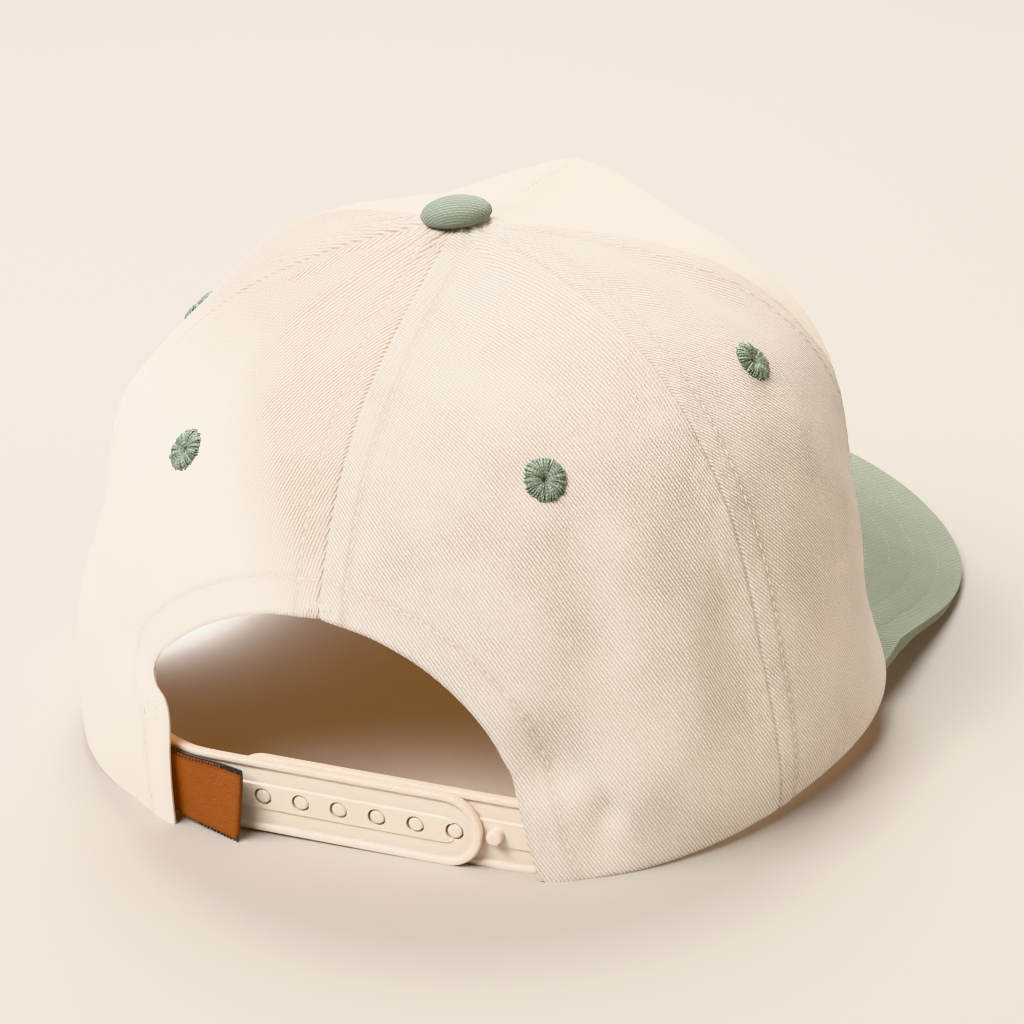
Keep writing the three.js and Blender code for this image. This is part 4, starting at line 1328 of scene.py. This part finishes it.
def photo_camera():
    """Camera at the photograph's angle: 201.9 degrees round from in front of the peak and 19.7 up."""
    turn, up, roll = (math.radians(CAMERA[name]) for name in ("turn", "up", "roll"))
    back = np.array([math.sin(turn) * math.cos(up), -math.cos(turn) * math.cos(up), math.sin(up)])
    target = np.array([0, ORIGIN_SHIFT, 60 - LOWERED])
    eye = target + CAMERA["distance"] * back
    level = np.array([math.cos(turn), math.sin(turn), 0])
    aim = target + CAMERA["right"] * level + CAMERA["raise"] * np.cross(back, level)
    ahead = unit(aim - eye)
    across = unit(np.cross(ahead, [0, 0, 1]))
    above = np.cross(across, ahead)
    right = across * math.cos(roll) + above * math.sin(roll)
    above = above * math.cos(roll) - across * math.sin(roll)
    data = bpy.data.cameras.new("photo_camera")
    data.sensor_width = CAMERA["sensor"]
    data.lens = CAMERA["focal_pixels"] * CAMERA["sensor"] / CAMERA["image"]
    data.clip_start = .05
    camera = put_in_scene("photo_camera", data)
    camera.matrix_world = stand(eye * MM, right, above, -ahead)
    bpy.context.scene.camera = camera


def area_light(name, shape, size, power, colour, spot, x, z):
    """A light at a spot, its width along x, that shines away from z."""
    data = bpy.data.lights.new(name, "AREA")
    data.shape = shape
    data.size, data.size_y = size
    data.energy = power
    data.color = colour
    light = put_in_scene(name, data)
    light.matrix_world = stand(spot, x, np.cross(z, x), z)
    return light


def soft_light(name, turn, height, power, colour):
    """A large round light aimed at the cap."""
    azimuth, rise = math.radians(CAMERA_AZIMUTH - turn), math.radians(height)
    spot = LIGHT_DISTANCE * np.array([math.cos(rise) * math.cos(azimuth), math.cos(rise) * math.sin(azimuth),
                                      math.sin(rise)])
    z = unit(spot - np.array([0, 0, AIM_HEIGHT]))
    area_light(name, "DISK", (LIGHT_SIZE, LIGHT_SIZE), power, colour, spot, unit(np.cross([0, 0, 1], z)), z)


def strip_light(name, middle, along, facing, size, power, colour):
    """A small rectangle of light that the camera doesn't see."""
    x, z = unit(np.array(along, float)), -unit(np.array(facing, float))
    area_light(name, "RECTANGLE", size, power, colour, middle, x, z).visible_camera = False


def rim_light():
    """A low strip at the wearer's left that throws light under the lifted edge, onto the floor inside."""
    ends = cloth(np.array(RIM_LIGHT["azimuths"]), np.zeros(2)) * MM
    along = ends[1] - ends[0]
    along[2] = 0
    inward = np.cross([0, 0, 1], unit(along))
    middle = ends.mean(axis=0)
    if (inward * middle).sum() > 0:
        inward = -inward
    size = float(np.linalg.norm(along)), float(middle[2])
    middle[2] /= 2
    middle -= inward * RIM_LIGHT["off"] * MM
    strip_light("rim_light", middle, along, inward, size, RIM_LIGHT["power"], RIM_LIGHT["colour"])


def studio():
    bpy.ops.object.select_all(action="DESELECT")
    bpy.ops.mesh.primitive_plane_add(size=12)
    floor = new_piece("floor")
    floor.data.materials.append(floor_finish())
    world = bpy.data.worlds.new("studio")
    world.use_nodes = True
    background = world.node_tree.nodes["Background"]
    background.inputs["Color"].default_value = (1.0, .76, .48, 1)
    background.inputs["Strength"].default_value = .04
    bpy.context.scene.world = world
    for name, turn, height, power, colour in LIGHTS:
        soft_light(name, turn, height, power, colour)
    rim_light()
    strip_light("opening_light", OPENING_LIGHT["middle"], (1, 0, 0), (0, 0, -1), OPENING_LIGHT["size"],
                OPENING_LIGHT["power"], OPENING_LIGHT["colour"])
    bpy.context.scene.view_settings.view_transform = "Khronos PBR Neutral"


# The cap

photo_camera()
studio()
inside = inside_twill()
# The cream panels are one cloth. These copies differ in tone, furrow shade and where the ribs show, as
# painted light and shade: the right back and side copies are paler, lifting their shade, and the left and
# front copies darker.
left_twill = cream_twill("cream_twill_left", 91, (.42, .355, .30), (.1, 1.0), (88.0, 120.0),
                         ((.80, .735, .67), (.84, .785, .725)), lowered=50.0)
right_cloth = (-59, (.475, .415, .36), (.7, 1.0), (20.0, 90.0), ((.86, .805, .765), (.895, .855, .82)))
right_twill = cream_twill("cream_twill_right", *right_cloth, pitch=.73)
right_side_twill = cream_twill("cream_twill_right_side", *right_cloth)
front_twill = cream_twill("cream_twill_front", -59, (.62, .55, .48), (.6, .25), (40.0, 110.0),
                          ((.77, .70, .625), (.81, .75, .68)))
sage_cloth = sage_twill("sage_twill_peak", 38, ((.25, .282, .217), (.30, .333, .258)))
sage_cover = sage_twill("sage_twill_button", 20, ((.175, .205, .16), (.235, .265, .215)))
sage_thread = eyelet_thread()
# Painted shade: the eyelets' padding is sage thread, drawn near black for the shade between the threads
sage_bed_painted_shade = sewing_thread("sage_bed_painted_shade", (.03, .06, .035), (.09, .14, .09))
cream_thread = sewing_thread("cream_thread", (.78, .71, .64), (.89, .83, .77))
peak_thread = sewing_thread("peak_thread", (.25, .29, .225), (.36, .40, .315))
dark_thread = sewing_thread("dark_thread", (.035, .04, .06), (.13, .14, .18))
black_thread = sewing_thread("black_thread", (.006, .006, .007), (.05, .045, .04))
plastic = moulded_plastic()
leather = tab_leather()

back_panel(1, [right_twill, inside])
back_panel(-1, [left_twill, inside])
side_panel(1, [right_side_twill, inside])
side_panel(-1, [left_twill, inside])
front_panel([front_twill, inside])
stitch = stitch_shape()
crown_stitching(stitch, cream_thread)
bar_tack(stitch, cream_thread)
foot_thread(stitch, dark_thread)
for seed, eyelet in enumerate(EYELETS):
    eyelet_threads(eyelet, *EYELETS[eyelet], [sage_thread, sage_bed_painted_shade], seed)
button([sage_cover])
peak([sage_cloth])
peak_rows(stitch, peak_thread)
strap_half("strap_outer_half", OUTER_HALF, "strap_holes", [plastic], True)
strap_half("strap_inner_half", INNER_HALF, "strap_pegs", [plastic], False)
tab_sheet("tab_leather", 0, .35, TAB["thick"] - .35, [leather], ("leather_tab",))
tab_sheet("tab_backing", .01, -.05, .4, [black_thread])
tab_edge_threads(stitch, black_thread)

bpy.context.view_layer.update()
